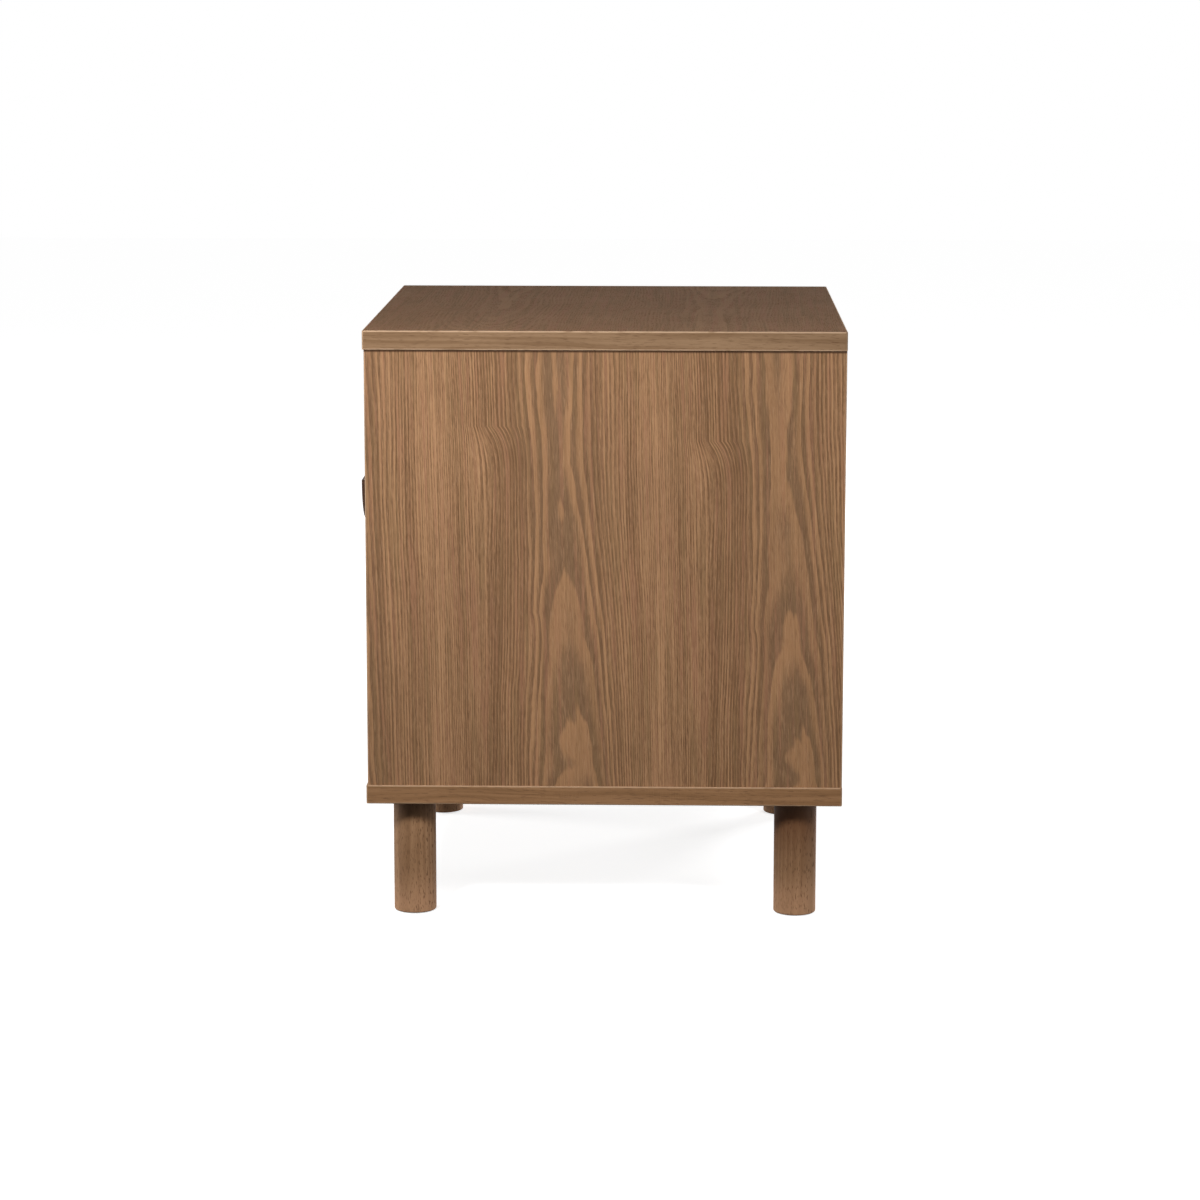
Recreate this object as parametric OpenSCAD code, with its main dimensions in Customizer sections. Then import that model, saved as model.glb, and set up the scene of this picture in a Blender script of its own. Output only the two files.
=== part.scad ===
// Nightstand: an open niche over one deep inset drawer, on four round legs.
// Veneered boards, a half-moon pull and ball-bearing drawer runners.
// Millimetres, +Z up, front towards -Y. The origin is on the floor, in the middle of the footprint.

/* [Overall size] */
// Width of the top and bottom panels
top_w = 450; // [400:10:600]
// Depth of the top and bottom panels
top_d = 400; // [390:10:500]
// Height from the floor to the top face
body_h = 500; // [480:10:640]

/* [Boards] */
// Thickness of the carcass boards and the drawer front
board_t = 16; // [15:1:20]
// Corner radius of the top and bottom panels, seen from above
corner_r = 2.5; // [1.5:0.5:6]
// Rounding along the edges of the top and bottom panels
arris_r = 1; // [0.5:0.25:1.5]
// Rounding along the front edges of the other boards
edge_r = 0.8; // [0.4:0.1:1.2]
// Distance from the ends of the top panel in to the side panels
side_setback = 1.5; // [0.5:0.5:5]
// Distance from the front edge of the top panel back to the side panels
front_setback = 1.3; // [0.5:0.1:4]
// Distance from the rear edge of the top panel in to the side panels
rear_setback = 0.3; // [0.1:0.1:3]
// Clear height of the open niche
niche_h = 115; // [80:5:125]

/* [Back panel] */
// Thickness of the back panel
back_t = 5; // [3:1:6]
// Distance from the rear edges of the side panels in to the back panel
back_inset = 8; // [6:1:12]
// Depth of the grooves that hold the back panel
groove_d = 6; // [4:1:8]

/* [Legs] */
// Height from the floor to the underside of the bottom panel
leg_h = 101; // [80:1:120]
// Diameter of the legs
leg_d = 36; // [32:1:45]
// Distance from the edges of the bottom panel in to the leg axes
leg_inset = 38; // [34:1:60]
// Rounding at the foot of the legs
leg_end_r = 1.5; // [0.5:0.5:3]
// Diameter of the felt pads
pad_d = 28; // [20:1:29]
// Thickness of the felt pads
pad_t = 3; // [2.5:0.5:5]
// How far the felt pads stand out of the legs
pad_proud = 1; // [0.5:0.5:2]

/* [Drawer] */
// Gap round the drawer front
front_gap = 2.5; // [1.5:0.5:4]
// Distance from the front edges of the side panels back to the drawer front
front_recess = 0.7; // [0.3:0.1:3]
// Thickness of the drawer box boards
box_t = 12; // [10:1:15]
// Height of the drawer box
box_h = 182; // [120:1:186]
// Height of the drawer box above the bottom panel
box_lift = 14; // [8:1:17]
// Thickness of the drawer bottom
bottom_t = 5; // [3:1:6]
// Height of the drawer bottom above the lower edge of the box
bottom_rise = 10; // [8:1:20]
// Depth of the grooves that hold the drawer bottom
bottom_groove = 6; // [4:1:7]

/* [Pull] */
// Radius of the half-moon pull
pull_r = 40; // [36:1:50]
// How far the pull stands out of the drawer front
pull_depth = 20; // [18:1:30]
// Thickness of the pull's front wall
lip_t = 7; // [5:1:8]
// Width of the pull's rim round the finger hollow
rim_w = 10; // [9:0.5:12]
// Rounding of the pull's curved edge
pull_edge_r = 2; // [1:0.5:4]

/* [Runners] */
// Length of the runners and of the drawer box
runner_l = 350; // [250, 300, 350]
// Height of the cabinet member
runner_h = 45; // [42:1:50]
// Thickness of a closed runner
runner_t = 12.7; // [12.5:0.1:13.5]
// Height of the runner's middle above the lower edge of the box
runner_rise = 70; // [40:5:120]
// How much the drawer's travel falls short of the runner's length
travel_loss = 10; // [5:5:60]
// Diameter of the bearing balls
ball_d = 3.5; // [3.2:0.1:3.6]
// Spacing of the bearing balls
ball_pitch = 18; // [10:1:30]

/* [Fixings] */
// Diameter of the carcass dowels
dowel_d = 8; // [6:1:8]
// Length of the carcass dowels
dowel_l = 30; // [25:1:40]
// Diameter of the drawer dowels
box_dowel_d = 6; // [5:1:6]
// Length of the drawer dowels
box_dowel_l = 25; // [20:1:30]
// Diameter of the cam locks
cam_d = 15; // [12:1:15]
// Distance from the end of a board to its cam locks
cam_in = 24; // [20:1:34]
// Distance from the front and rear edges of the sides to the cam locks
cam_edge = 50; // [40:5:70]
// Distance from the cam locks to the dowels beside them
dowel_step = 32; // [20:1:64]
// Diameter of the leg bolts
hanger_d = 8; // [6:1:8]
// Depth of the leg bolts in the legs
hanger_in = 36; // [25:1:50]
// Diameter of the tee nuts' flanges
tee_d = 22; // [18:1:24]

/* [Hidden] */
$fn = 48;

veneer = "#8f6e51";
dark_wood = "#4f3628";
box_board = "#c9b391";
zinc = "#b9bcc0";
brass = "#b9975b";
felt = "#3d3a37";
beech = "#d2b48c";
plastic = "#7d6049";

// Small play round a part in its hole or groove
fit = 0.1;
// Play of a loose panel in its groove
groove_play = 0.3;
// How far a cut runs past a face
over = 1;

// Carcass, measured from the middle of the top panel
inner_w = top_w - 2 * side_setback - 2 * board_t;
side_x = inner_w / 2;
floor_z = leg_h + board_t;
roof_z = body_h - board_t;
side_h = roof_z - floor_z;
side_front_y = -top_d / 2 + front_setback;
side_back_y = top_d / 2 - rear_setback;
side_d = side_back_y - side_front_y;
face_y = side_front_y + front_recess;
back_y = side_back_y - back_inset - back_t;
shelf_z = roof_z - niche_h - board_t;
shelf_clear = 0.4;
shelf_d = back_y - shelf_clear - face_y;

// The pull stands out past the top panel, so half of that reach puts the origin mid-footprint
pull_reach = pull_depth - front_setback - front_recess;

// Legs
leg_x = top_w / 2 - leg_inset;
leg_y = top_d / 2 - leg_inset;
leg_top_r = 0.5;

// Leg fixings
tee_flange_t = 1.5;
tee_wall = 1.25;
tee_barrel = 9;
hanger_tip = 3;
hanger_short = 1;

// Drawer, inset between the side panels
front_w = inner_w - 2 * front_gap;
front_z = floor_z + front_gap;
front_h = shelf_z - front_gap - front_z;
front_back_y = face_y + board_t;
box_w = inner_w - 2 * runner_t;
box_z = floor_z + box_lift;
box_in_w = box_w - 2 * box_t;
box_back_y = front_back_y + runner_l;
bottom_z = box_z + bottom_rise;

// Pull
pull_z = front_z + front_h;
pull_top_r = 0.8;
hollow_r = 4;
pull_screw_at = pull_r - rim_w / 2;
pull_screw_x = pull_screw_at * cos(45);
pull_screw_z = pull_z - pull_screw_at * sin(45);
pull_screw_d = 4;
insert_wall = 1;
insert_l = 8;

// Runner section: u runs from the side panel to the drawer, v up from the runner's middle
steel = 1;
cage_t = 0.5;
web_gap = 0.3;
ball_r = ball_d / 2;
race_clear = 0.3;
race_r = ball_r + race_clear;
race_half = 50;
race_s = race_r * sin(race_half);
race_c = race_r * cos(race_half);
race_lip = 0.6;
outer_ball_u = 5;
inner_ball_u = runner_t - 3.4;
outer_ball_v = runner_h / 2 - race_r - steel;
outer_flange_v = outer_ball_v + race_c + steel;
middle_flange_v = outer_ball_v - race_c;
inner_ball_v = middle_flange_v - steel - race_c;
inner_flange_v = inner_ball_v - race_c;
middle_web_u = steel + 2 * web_gap + cage_t;
outer_cage_u = steel + web_gap;
inner_cage_u = outer_ball_u + 0.4;
outer_bend = 2;
middle_bend = 1.2;
outer_flange_end = runner_t - 2.3;
cage_rim = 0.5;
cage_bend = 0.8;

runner_front = front_back_y + 2;
runner_z = box_z + runner_rise;
member_l = runner_l - 4;
runner_mid = runner_front + member_l / 2;
drawer_travel = runner_l - travel_loss;
cage_end = 8;
cage_l = member_l - drawer_travel / 2 - 2 * cage_end;
ball_count = floor((cage_l - 2 * cage_end) / ball_pitch) + 1;
runner_hole_in = 37;
runner_hole_ys = [runner_front + runner_hole_in, runner_mid, runner_front + member_l - runner_hole_in];
access_r = 6;
access_in = 75;

// Screws
cab_screw_d = 3.5;
cab_screw_l = 13;
cab_head_r = 3.3;
draw_screw_d = 3.5;
draw_screw_l = 10;
draw_head_r = 3.4;
draw_head_h = 1.8;
front_screw_d = 4;
front_screw_l = box_t + 11;
front_screw_inset = [60, 40];
pan_r = 3.9;
pan_h = 2.2;
recess_w = 0.9;
recess_d = 1.2;

// Cam fittings: a lock in one board, and a bolt that reaches into the next
cam_h = 12.3;
cam_pocket_r = 3.4;
bolt_head_r = 3;
bolt_neck_r = 2;
bolt_shank_r = 3.4;
bolt_thread_r = 3;
bolt_bore_r = 3.7;
bolt_in = 11;
cap_r = cam_d / 2 + 1.5;
cap_t = 0.9;
dowel_in = 11;
cam_ys = [side_front_y + cam_edge, side_back_y - cam_edge];
dowel_ys = [cam_ys[0] + dowel_step, cam_ys[1] - dowel_step];
box_dowel_in = 8;
box_dowel_edge = 32;
box_dowel_zs = [box_z + box_dowel_edge, box_z + box_h / 2, box_z + box_h - box_dowel_edge];

// Puts the carcass middle where the footprint's middle is the origin
module in_frame() {
  translate([0, pull_reach / 2, 0]) children();
}

// Mirrors a left-hand piece to the right-hand side
module on_side(right) {
  if (right) mirror([1, 0, 0]) children();
  else children();
}

// Centred rectangle with round corners
module round_rect(w, h, r) {
  square([w - 2 * r, h], center = true);
  square([w, h - 2 * r], center = true);
  for (x = [-1, 1], y = [-1, 1]) translate([x * (w / 2 - r), y * (h / 2 - r)]) circle(r);
}

// Board lying flat on Z = 0, with round corners and softened edges
module soft_board(w, d, t, corner, arris) {
  intersection() {
    linear_extrude(t) round_rect(w, d, corner);
    translate([0, 0, t / 2]) rotate([90, 0, 0]) linear_extrude(d + 2 * over, center = true)
      round_rect(w, t, arris);
    translate([0, 0, t / 2]) rotate([90, 0, 90]) linear_extrude(w + 2 * over, center = true)
      round_rect(d, t, arris);
  }
}

// Rectangle from the origin, with its two corners at x = 0 rounded
module nosed_rect(w, h, r) {
  translate([r, 0]) square([w - r, h]);
  translate([0, r]) square([r, h - 2 * r]);
  for (y = [r, h - r]) translate([r, y]) circle(r);
}

// Visits every joint between carcass boards. There +X runs out of the board that holds the cam,
// and +Z points to the face that the cam is bored from.
module at_joints(ys) {
  for (m = [false, true], y = ys) on_side(m) {
    translate([-side_x - board_t / 2, y, roof_z]) rotate([0, -90, 180]) children();
    translate([-side_x - board_t / 2, y, floor_z]) rotate([0, 90, 0]) children();
    translate([-side_x, y, shelf_z + board_t / 2]) rotate([180, 0, 180]) children();
  }
}

// Bores of one cam fitting
module cam_bores() {
  translate([-cam_in, 0, board_t / 2 - cam_h - fit]) cylinder(h = cam_h + fit + over, d = cam_d + 2 * fit);
  translate([-cam_in, 0, 0]) rotate([0, 90, 0]) cylinder(h = cam_in, r = bolt_bore_r);
  rotate([0, 90, 0]) cylinder(h = bolt_in + fit, r = bolt_thread_r + fit);
}

// Bores of one dowel
module dowel_bores() {
  translate([dowel_in - dowel_l - fit, 0, 0]) rotate([0, 90, 0])
    cylinder(h = dowel_l + 2 * fit, d = dowel_d + 2 * fit);
}

module joint_bores() {
  at_joints(cam_ys) cam_bores();
  at_joints(dowel_ys) dowel_bores();
}

// Room that the back panel needs in the boards round it
module back_groove() {
  translate([-side_x - groove_d, back_y - groove_play / 2, floor_z - groove_d])
    cube([inner_w + 2 * groove_d, back_t + groove_play, side_h + 2 * groove_d]);
}

module at_legs() {
  for (x = [-1, 1], y = [-1, 1]) translate([x * leg_x, y * leg_y, 0]) children();
}

module top_panel() {
  color(veneer) in_frame() difference() {
    translate([0, 0, roof_z]) soft_board(top_w, top_d, board_t, corner_r, arris_r);
    joint_bores();
    back_groove();
  }
}

module bottom_panel() {
  color(veneer) in_frame() difference() {
    translate([0, 0, leg_h]) soft_board(top_w, top_d, board_t, corner_r, arris_r);
    joint_bores();
    back_groove();
    at_legs() {
      translate([0, 0, leg_h - over]) cylinder(h = board_t + 2 * over, r = hanger_d / 2 + tee_wall + fit);
      translate([0, 0, floor_z - tee_flange_t - fit]) cylinder(h = tee_flange_t + over, d = tee_d + 2 * fit);
    }
  }
}

// Left-hand side panel: an upright board with softened front and rear edges
module side_panel() {
  color(veneer) in_frame() difference() {
    translate([-side_x - board_t / 2, (side_front_y + side_back_y) / 2, floor_z])
      linear_extrude(side_h) round_rect(board_t, side_d, edge_r);
    joint_bores();
    back_groove();
    at_cabinet_screws() countersunk_screw(cab_screw_d, cab_screw_l, cab_head_r, fit);
  }
}

module side_panel_left() {
  side_panel();
}

module side_panel_right() {
  mirror([1, 0, 0]) side_panel();
}

module niche_shelf() {
  color(veneer) in_frame() difference() {
    translate([-inner_w / 2, face_y, shelf_z]) rotate([90, 0, 90]) linear_extrude(inner_w)
      nosed_rect(shelf_d, board_t, edge_r);
    joint_bores();
  }
}

module back_panel() {
  edge = groove_d - groove_play;
  color(veneer) in_frame() translate([-side_x - edge, back_y, floor_z - edge])
    cube([inner_w + 2 * edge, back_t, side_h + 2 * edge]);
}

// Turned leg with a rounded foot, a bore for its bolt and a recess for its pad
module leg(x, y) {
  length = leg_h - pad_proud;
  color(veneer) in_frame() translate([x * leg_x, y * leg_y, pad_proud]) difference() {
    rotate_extrude() {
      square([leg_d / 2 - leg_end_r, length]);
      translate([0, leg_end_r]) square([leg_d / 2, length - leg_end_r - leg_top_r]);
      translate([leg_d / 2 - leg_end_r, leg_end_r]) circle(leg_end_r);
      translate([0, length - leg_top_r]) square([leg_d / 2 - leg_top_r, leg_top_r]);
      translate([leg_d / 2 - leg_top_r, length - leg_top_r]) circle(leg_top_r);
    }
    translate([0, 0, -over]) cylinder(h = pad_t - pad_proud + fit + over, d = pad_d + 2 * fit);
    translate([0, 0, length - hanger_in - fit]) cylinder(h = hanger_in + fit + over, d = hanger_d + 2 * fit);
  }
}

module leg_front_left() {
  leg(-1, -1);
}

module leg_front_right() {
  leg(1, -1);
}

module leg_back_left() {
  leg(-1, 1);
}

module leg_back_right() {
  leg(1, 1);
}

module foot_pads() {
  color(felt) in_frame() at_legs() cylinder(h = pad_t, d = pad_d);
}

// Bolts with a wood thread in the leg and a machine thread in the tee nut
module leg_hanger_bolts() {
  color(zinc) in_frame() at_legs() translate([0, 0, leg_h - hanger_in]) {
    cylinder(h = hanger_tip, r1 = hanger_d / 6, r2 = hanger_d / 2);
    translate([0, 0, hanger_tip])
      cylinder(h = hanger_in + board_t - hanger_tip - hanger_short, d = hanger_d);
  }
}

module leg_tee_nuts() {
  color(zinc) in_frame() at_legs() difference() {
    union() {
      translate([0, 0, floor_z - tee_flange_t]) cylinder(h = tee_flange_t, d = tee_d);
      translate([0, 0, floor_z - tee_flange_t - tee_barrel])
        cylinder(h = tee_barrel + tee_flange_t, r = hanger_d / 2 + tee_wall);
    }
    translate([0, 0, leg_h]) cylinder(h = board_t + over, d = hanger_d + 2 * fit);
  }
}

module carcass_dowels() {
  color(beech) in_frame() at_joints(dowel_ys)
    translate([dowel_in - dowel_l, 0, 0]) rotate([0, 90, 0]) cylinder(h = dowel_l, d = dowel_d);
}

// Cross recess at the origin, cut down into a head
module cross_recess(length, depth) {
  for (a = [0, 90]) rotate([0, 0, a]) translate([-length / 2, -recess_w / 2, -depth])
    cube([length, recess_w, depth + over]);
}

// Cam lock: a drum with a pocket for the bolt's head and a cross recess in its face
module cam_locks() {
  color(zinc) in_frame() at_joints(cam_ys) translate([-cam_in, 0, board_t / 2]) difference() {
    translate([0, 0, -cam_h]) cylinder(h = cam_h - fit, d = cam_d);
    translate([-bolt_head_r, 0, -board_t / 2]) rotate([0, 90, 0])
      cylinder(h = cam_d, r = cam_pocket_r);
    translate([0, 0, -fit]) cross_recess(cam_d * 0.6, recess_d);
  }
}

// Cam bolt: thread in the next board, shank across the joint, neck and head in the lock
module cam_bolts() {
  neck_l = cam_d / 2 + 1;
  color(zinc) in_frame() at_joints(cam_ys) translate([-cam_in, 0, 0]) rotate([0, 90, 0]) {
    translate([0, 0, -bolt_head_r + fit]) cylinder(h = bolt_head_r, r = bolt_head_r);
    cylinder(h = neck_l, r = bolt_neck_r);
    translate([0, 0, neck_l]) cylinder(h = cam_in - neck_l, r = bolt_shank_r);
    translate([0, 0, cam_in]) cylinder(h = bolt_in, r = bolt_thread_r);
  }
}

// Thin caps over the cam locks that show in the niche
module cam_caps() {
  color(plastic) in_frame() for (m = [false, true], y = cam_ys) on_side(m)
    translate([-side_x, y, roof_z - cam_in]) rotate([0, 90, 0]) rotate_extrude() {
      square([cap_r - cap_t / 2, cap_t]);
      square([cap_r, cap_t / 2]);
      translate([cap_r - cap_t / 2, cap_t / 2]) circle(cap_t / 2);
    }
}

// Flat-headed screw at the origin, its head's face at Z = 0 and its shank down along -Z
module countersunk_screw(d, l, head_r, grow) {
  rotate_extrude() polygon([[0, grow > 0 ? over : 0], [head_r + grow, grow > 0 ? over : 0],
    [head_r + grow, 0], [d / 2 + grow, d / 2 - head_r], [d / 2 + grow, -l - grow], [0, -l - grow]]);
}

// Pan-headed screw at the origin, its head above Z = 0 and its shank down along -Z
module pan_screw(d, l, head_r, head_h) {
  difference() {
    rotate_extrude() {
      square([head_r - head_h / 2, head_h]);
      square([head_r, head_h / 2]);
      translate([head_r - head_h / 2, head_h / 2]) intersection() {
        circle(head_h / 2);
        square(head_h);
      }
      translate([0, -l]) square([d / 2, l + head_h / 2]);
    }
    translate([0, 0, head_h]) cross_recess(head_r * 1.1, recess_d);
  }
}

// Visits the cabinet member's screws on the left: +Z points into the cabinet
module at_cabinet_screws() {
  for (y = runner_hole_ys) translate([-side_x + steel, y, runner_z]) rotate([0, 90, 0]) children();
}

// Visits the drawer member's screws on the left: +Z points away from the drawer
module at_drawer_screws() {
  for (y = runner_hole_ys) translate([-side_x + runner_t - steel, y, runner_z]) rotate([0, -90, 0]) children();
}

// Sheet bent round a ball at the origin, on the side that the angle gives
module race(dir) {
  far = 3 * race_r;
  intersection() {
    difference() {
      circle(race_r + steel);
      circle(race_r);
    }
    rotate(dir) polygon([[0, 0], [far, far * tan(race_half)], [far, -far * tan(race_half)]]);
  }
}

module both_flanges() {
  children();
  mirror([0, 1, 0]) children();
}

// Channel of bent sheet, its web at x = 0 and its flanges' outer faces at +v and -v
module channel(length, w, v, r, sheet) {
  difference() {
    linear_extrude(length, center = true) translate([0, -v]) nosed_rect(w, 2 * v, r);
    linear_extrude(length + 2 * over, center = true) translate([sheet, sheet - v])
      nosed_rect(w, 2 * (v - sheet), r - sheet);
  }
}

// Swaps a stretch of both flanges for a race round the balls at (u, v), bent out at 90 or in at -90
module with_race(length, u, v, dir) {
  flange_v = v + (dir > 0 ? 1 : -1) * (race_c + steel / 2);
  difference() {
    children();
    both_flanges() translate([u, flange_v, 0]) cube([2 * race_s, 2 * steel, length + 2 * over], center = true);
  }
  both_flanges() translate([u, v, 0]) linear_extrude(length, center = true) race(dir);
}

// Cabinet member: a channel whose flanges bulge out over the outer balls
module cabinet_member(length) {
  with_race(length, outer_ball_u, outer_ball_v, 90)
    channel(length, outer_flange_end, outer_flange_v, outer_bend, steel);
}

// Middle member: its flanges dip under the outer balls and rise over the inner ones
module middle_member(length) {
  middle_w = inner_ball_u + race_s + race_lip - middle_web_u;
  with_race(length, outer_ball_u, outer_ball_v, -90) with_race(length, inner_ball_u, inner_ball_v, 90)
    translate([middle_web_u, 0, 0]) channel(length, middle_w, middle_flange_v, middle_bend, steel);
}

// Drawer member: a channel screwed to the drawer, its flanges dip under the inner balls
module drawer_member(length) {
  drawer_w = runner_t - inner_ball_u + race_s + race_lip;
  with_race(length, inner_ball_u, inner_ball_v, -90) translate([runner_t, 0, 0]) mirror([1, 0, 0])
    channel(length, drawer_w, inner_flange_v, middle_bend, steel);
}

// Ball cage: a thin channel whose two arms are drilled for the balls
module cage_strip(length, web_u, ball_u, ball_v) {
  translate([web_u, 0, 0])
    channel(length, ball_u + ball_r + fit + cage_rim - web_u, ball_v + cage_t / 2, cage_bend, cage_t);
}

// Lays a section that was extruded along Z along the runner on the left side panel
module along_runner() {
  translate([-side_x, runner_mid, runner_z]) rotate([90, 0, 0]) children();
}

// Visits the ball seats of one cage
module at_balls(ball_u, ball_v) {
  first = runner_mid - (ball_count - 1) * ball_pitch / 2;
  for (i = [0:ball_count - 1], s = [-1, 1])
    translate([-side_x + ball_u, first + i * ball_pitch, runner_z + s * ball_v]) children();
}

module runner_cabinet(right) {
  color(zinc) in_frame() on_side(right) difference() {
    along_runner() cabinet_member(member_l);
    at_cabinet_screws() countersunk_screw(cab_screw_d, cab_screw_l, cab_head_r, fit);
  }
}

module runner_middle(right) {
  color(zinc) in_frame() on_side(right) difference() {
    along_runner() middle_member(member_l);
    for (s = [-1, 1]) translate([-side_x, runner_mid + s * access_in, runner_z]) rotate([0, 90, 0])
      cylinder(h = runner_t, r = access_r);
  }
}

module runner_drawer(right) {
  color(zinc) in_frame() on_side(right) difference() {
    along_runner() drawer_member(member_l);
    at_drawer_screws() translate([0, 0, -2 * steel]) cylinder(h = 3 * steel, d = draw_screw_d + 2 * fit);
  }
}

module ball_cage(right, web_u, ball_u, ball_v) {
  color(brass) in_frame() on_side(right) difference() {
    along_runner() cage_strip(cage_l, web_u, ball_u, ball_v);
    at_balls(ball_u, ball_v) cylinder(h = 4 * cage_t, r = ball_r + fit, center = true);
  }
}

module balls(right, ball_u, ball_v) {
  color(zinc) in_frame() on_side(right) at_balls(ball_u, ball_v) sphere(r = ball_r, $fn = 24);
}

module runner_cabinet_left() {
  runner_cabinet(false);
}

module runner_cabinet_right() {
  runner_cabinet(true);
}

module runner_middle_left() {
  runner_middle(false);
}

module runner_middle_right() {
  runner_middle(true);
}

module runner_drawer_left() {
  runner_drawer(false);
}

module runner_drawer_right() {
  runner_drawer(true);
}

module ball_cage_outer_left() {
  ball_cage(false, outer_cage_u, outer_ball_u, outer_ball_v);
}

module ball_cage_outer_right() {
  ball_cage(true, outer_cage_u, outer_ball_u, outer_ball_v);
}

module ball_cage_inner_left() {
  ball_cage(false, inner_cage_u, inner_ball_u, inner_ball_v);
}

module ball_cage_inner_right() {
  ball_cage(true, inner_cage_u, inner_ball_u, inner_ball_v);
}

module balls_outer_left() {
  balls(false, outer_ball_u, outer_ball_v);
}

module balls_outer_right() {
  balls(true, outer_ball_u, outer_ball_v);
}

module balls_inner_left() {
  balls(false, inner_ball_u, inner_ball_v);
}

module balls_inner_right() {
  balls(true, inner_ball_u, inner_ball_v);
}

module runner_cabinet_screws() {
  color(zinc) in_frame() for (m = [false, true]) on_side(m)
    at_cabinet_screws() countersunk_screw(cab_screw_d, cab_screw_l, cab_head_r, 0);
}

module runner_drawer_screws() {
  color(zinc) in_frame() for (m = [false, true]) on_side(m)
    at_drawer_screws() pan_screw(draw_screw_d, draw_screw_l + steel, draw_head_r, draw_head_h);
}

// Visits the screws that fix the drawer front: +Z points into the drawer
module at_front_screws() {
  for (x = [-1, 1], z = [box_z + front_screw_inset[1], box_z + box_h - front_screw_inset[1]])
    translate([x * (box_in_w / 2 - front_screw_inset[0]), front_back_y + box_t, z]) rotate([-90, 0, 0])
      children();
}

// Visits the pull's screws: +Z points into the drawer
module at_pull_screws() {
  for (x = [-1, 1]) translate([x * pull_screw_x, front_back_y, pull_screw_z]) rotate([-90, 0, 0]) children();
}

module drawer_front() {
  color(veneer) in_frame() difference() {
    translate([-front_w / 2, face_y, front_z]) intersection() {
      rotate([90, 0, 90]) linear_extrude(front_w) nosed_rect(board_t, front_h, edge_r);
      translate([front_w, 0, 0]) rotate([0, 0, 90]) linear_extrude(front_h)
        nosed_rect(board_t, front_w, edge_r);
    }
    at_front_screws() translate([0, 0, -front_screw_l - fit])
      cylinder(h = front_screw_l, d = front_screw_d + 2 * fit);
    at_pull_screws() translate([0, 0, -board_t - over])
      cylinder(h = board_t + 2 * over, d = pull_screw_d + 2 * fit);
  }
}

// Groove for the drawer bottom, cut into the four boards of the box
module bottom_groove_cut() {
  side = box_in_w / 2 + bottom_groove;
  translate([-side, front_back_y + box_t - bottom_groove, bottom_z - groove_play / 2])
    cube([2 * side, runner_l - 2 * box_t + 2 * bottom_groove, bottom_t + groove_play]);
}

// Visits the dowels at the corners of the box: +X points out of the box front's end
module at_box_dowels() {
  for (m = [false, true], y = [front_back_y + box_t / 2, box_back_y - box_t / 2], z = box_dowel_zs)
    on_side(m) translate([-box_in_w / 2, y, z]) rotate([0, 0, 180]) children();
}

module box_dowel_bores() {
  at_box_dowels() translate([box_dowel_in - box_dowel_l - fit, 0, 0]) rotate([0, 90, 0])
    cylinder(h = box_dowel_l + 2 * fit, d = box_dowel_d + 2 * fit);
}

// Board across the box between its sides, at the given front face
module cross_board(y) {
  translate([-box_in_w / 2, y, box_z]) cube([box_in_w, box_t, box_h]);
}

module drawer_box_front() {
  color(box_board) in_frame() difference() {
    cross_board(front_back_y);
    bottom_groove_cut();
    box_dowel_bores();
    at_front_screws() translate([0, 0, -box_t - over])
      cylinder(h = box_t + 2 * over, d = front_screw_d + 2 * fit);
  }
}

module drawer_back() {
  color(box_board) in_frame() difference() {
    cross_board(box_back_y - box_t);
    bottom_groove_cut();
    box_dowel_bores();
  }
}

// Left-hand drawer side, its top edge rounded
module drawer_side() {
  color(box_board) in_frame() difference() {
    translate([-box_w / 2, box_back_y, box_z]) rotate([90, 0, 0]) linear_extrude(runner_l) {
      square([box_t, box_h - edge_r]);
      translate([edge_r, 0]) square([box_t - 2 * edge_r, box_h]);
      for (x = [edge_r, box_t - edge_r]) translate([x, box_h - edge_r]) circle(edge_r);
    }
    bottom_groove_cut();
    box_dowel_bores();
    at_drawer_screws() translate([0, 0, -draw_screw_l - steel - fit])
      cylinder(h = draw_screw_l + fit + over, d = draw_screw_d + 2 * fit);
  }
}

module drawer_side_left() {
  drawer_side();
}

module drawer_side_right() {
  mirror([1, 0, 0]) drawer_side();
}

module drawer_bottom() {
  edge = bottom_groove - groove_play;
  color(box_board) in_frame() translate([-box_in_w / 2 - edge, front_back_y + box_t - edge, bottom_z])
    cube([box_in_w + 2 * edge, runner_l - 2 * box_t + 2 * edge, bottom_t]);
}

module drawer_dowels() {
  color(beech) in_frame() at_box_dowels() translate([box_dowel_in - box_dowel_l, 0, 0]) rotate([0, 90, 0])
    cylinder(h = box_dowel_l, d = box_dowel_d);
}

module drawer_front_screws() {
  color(zinc) in_frame() at_front_screws() pan_screw(front_screw_d, front_screw_l - 2 * fit, pan_r, pan_h);
}

// Quarter section of a disc from the axis to r and from 0 to h, its far corner rounded
module disc_section(r, h, round_r) {
  square([r, h - round_r]);
  square([r - round_r, h]);
  translate([r - round_r, h - round_r]) circle(round_r);
}

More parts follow.
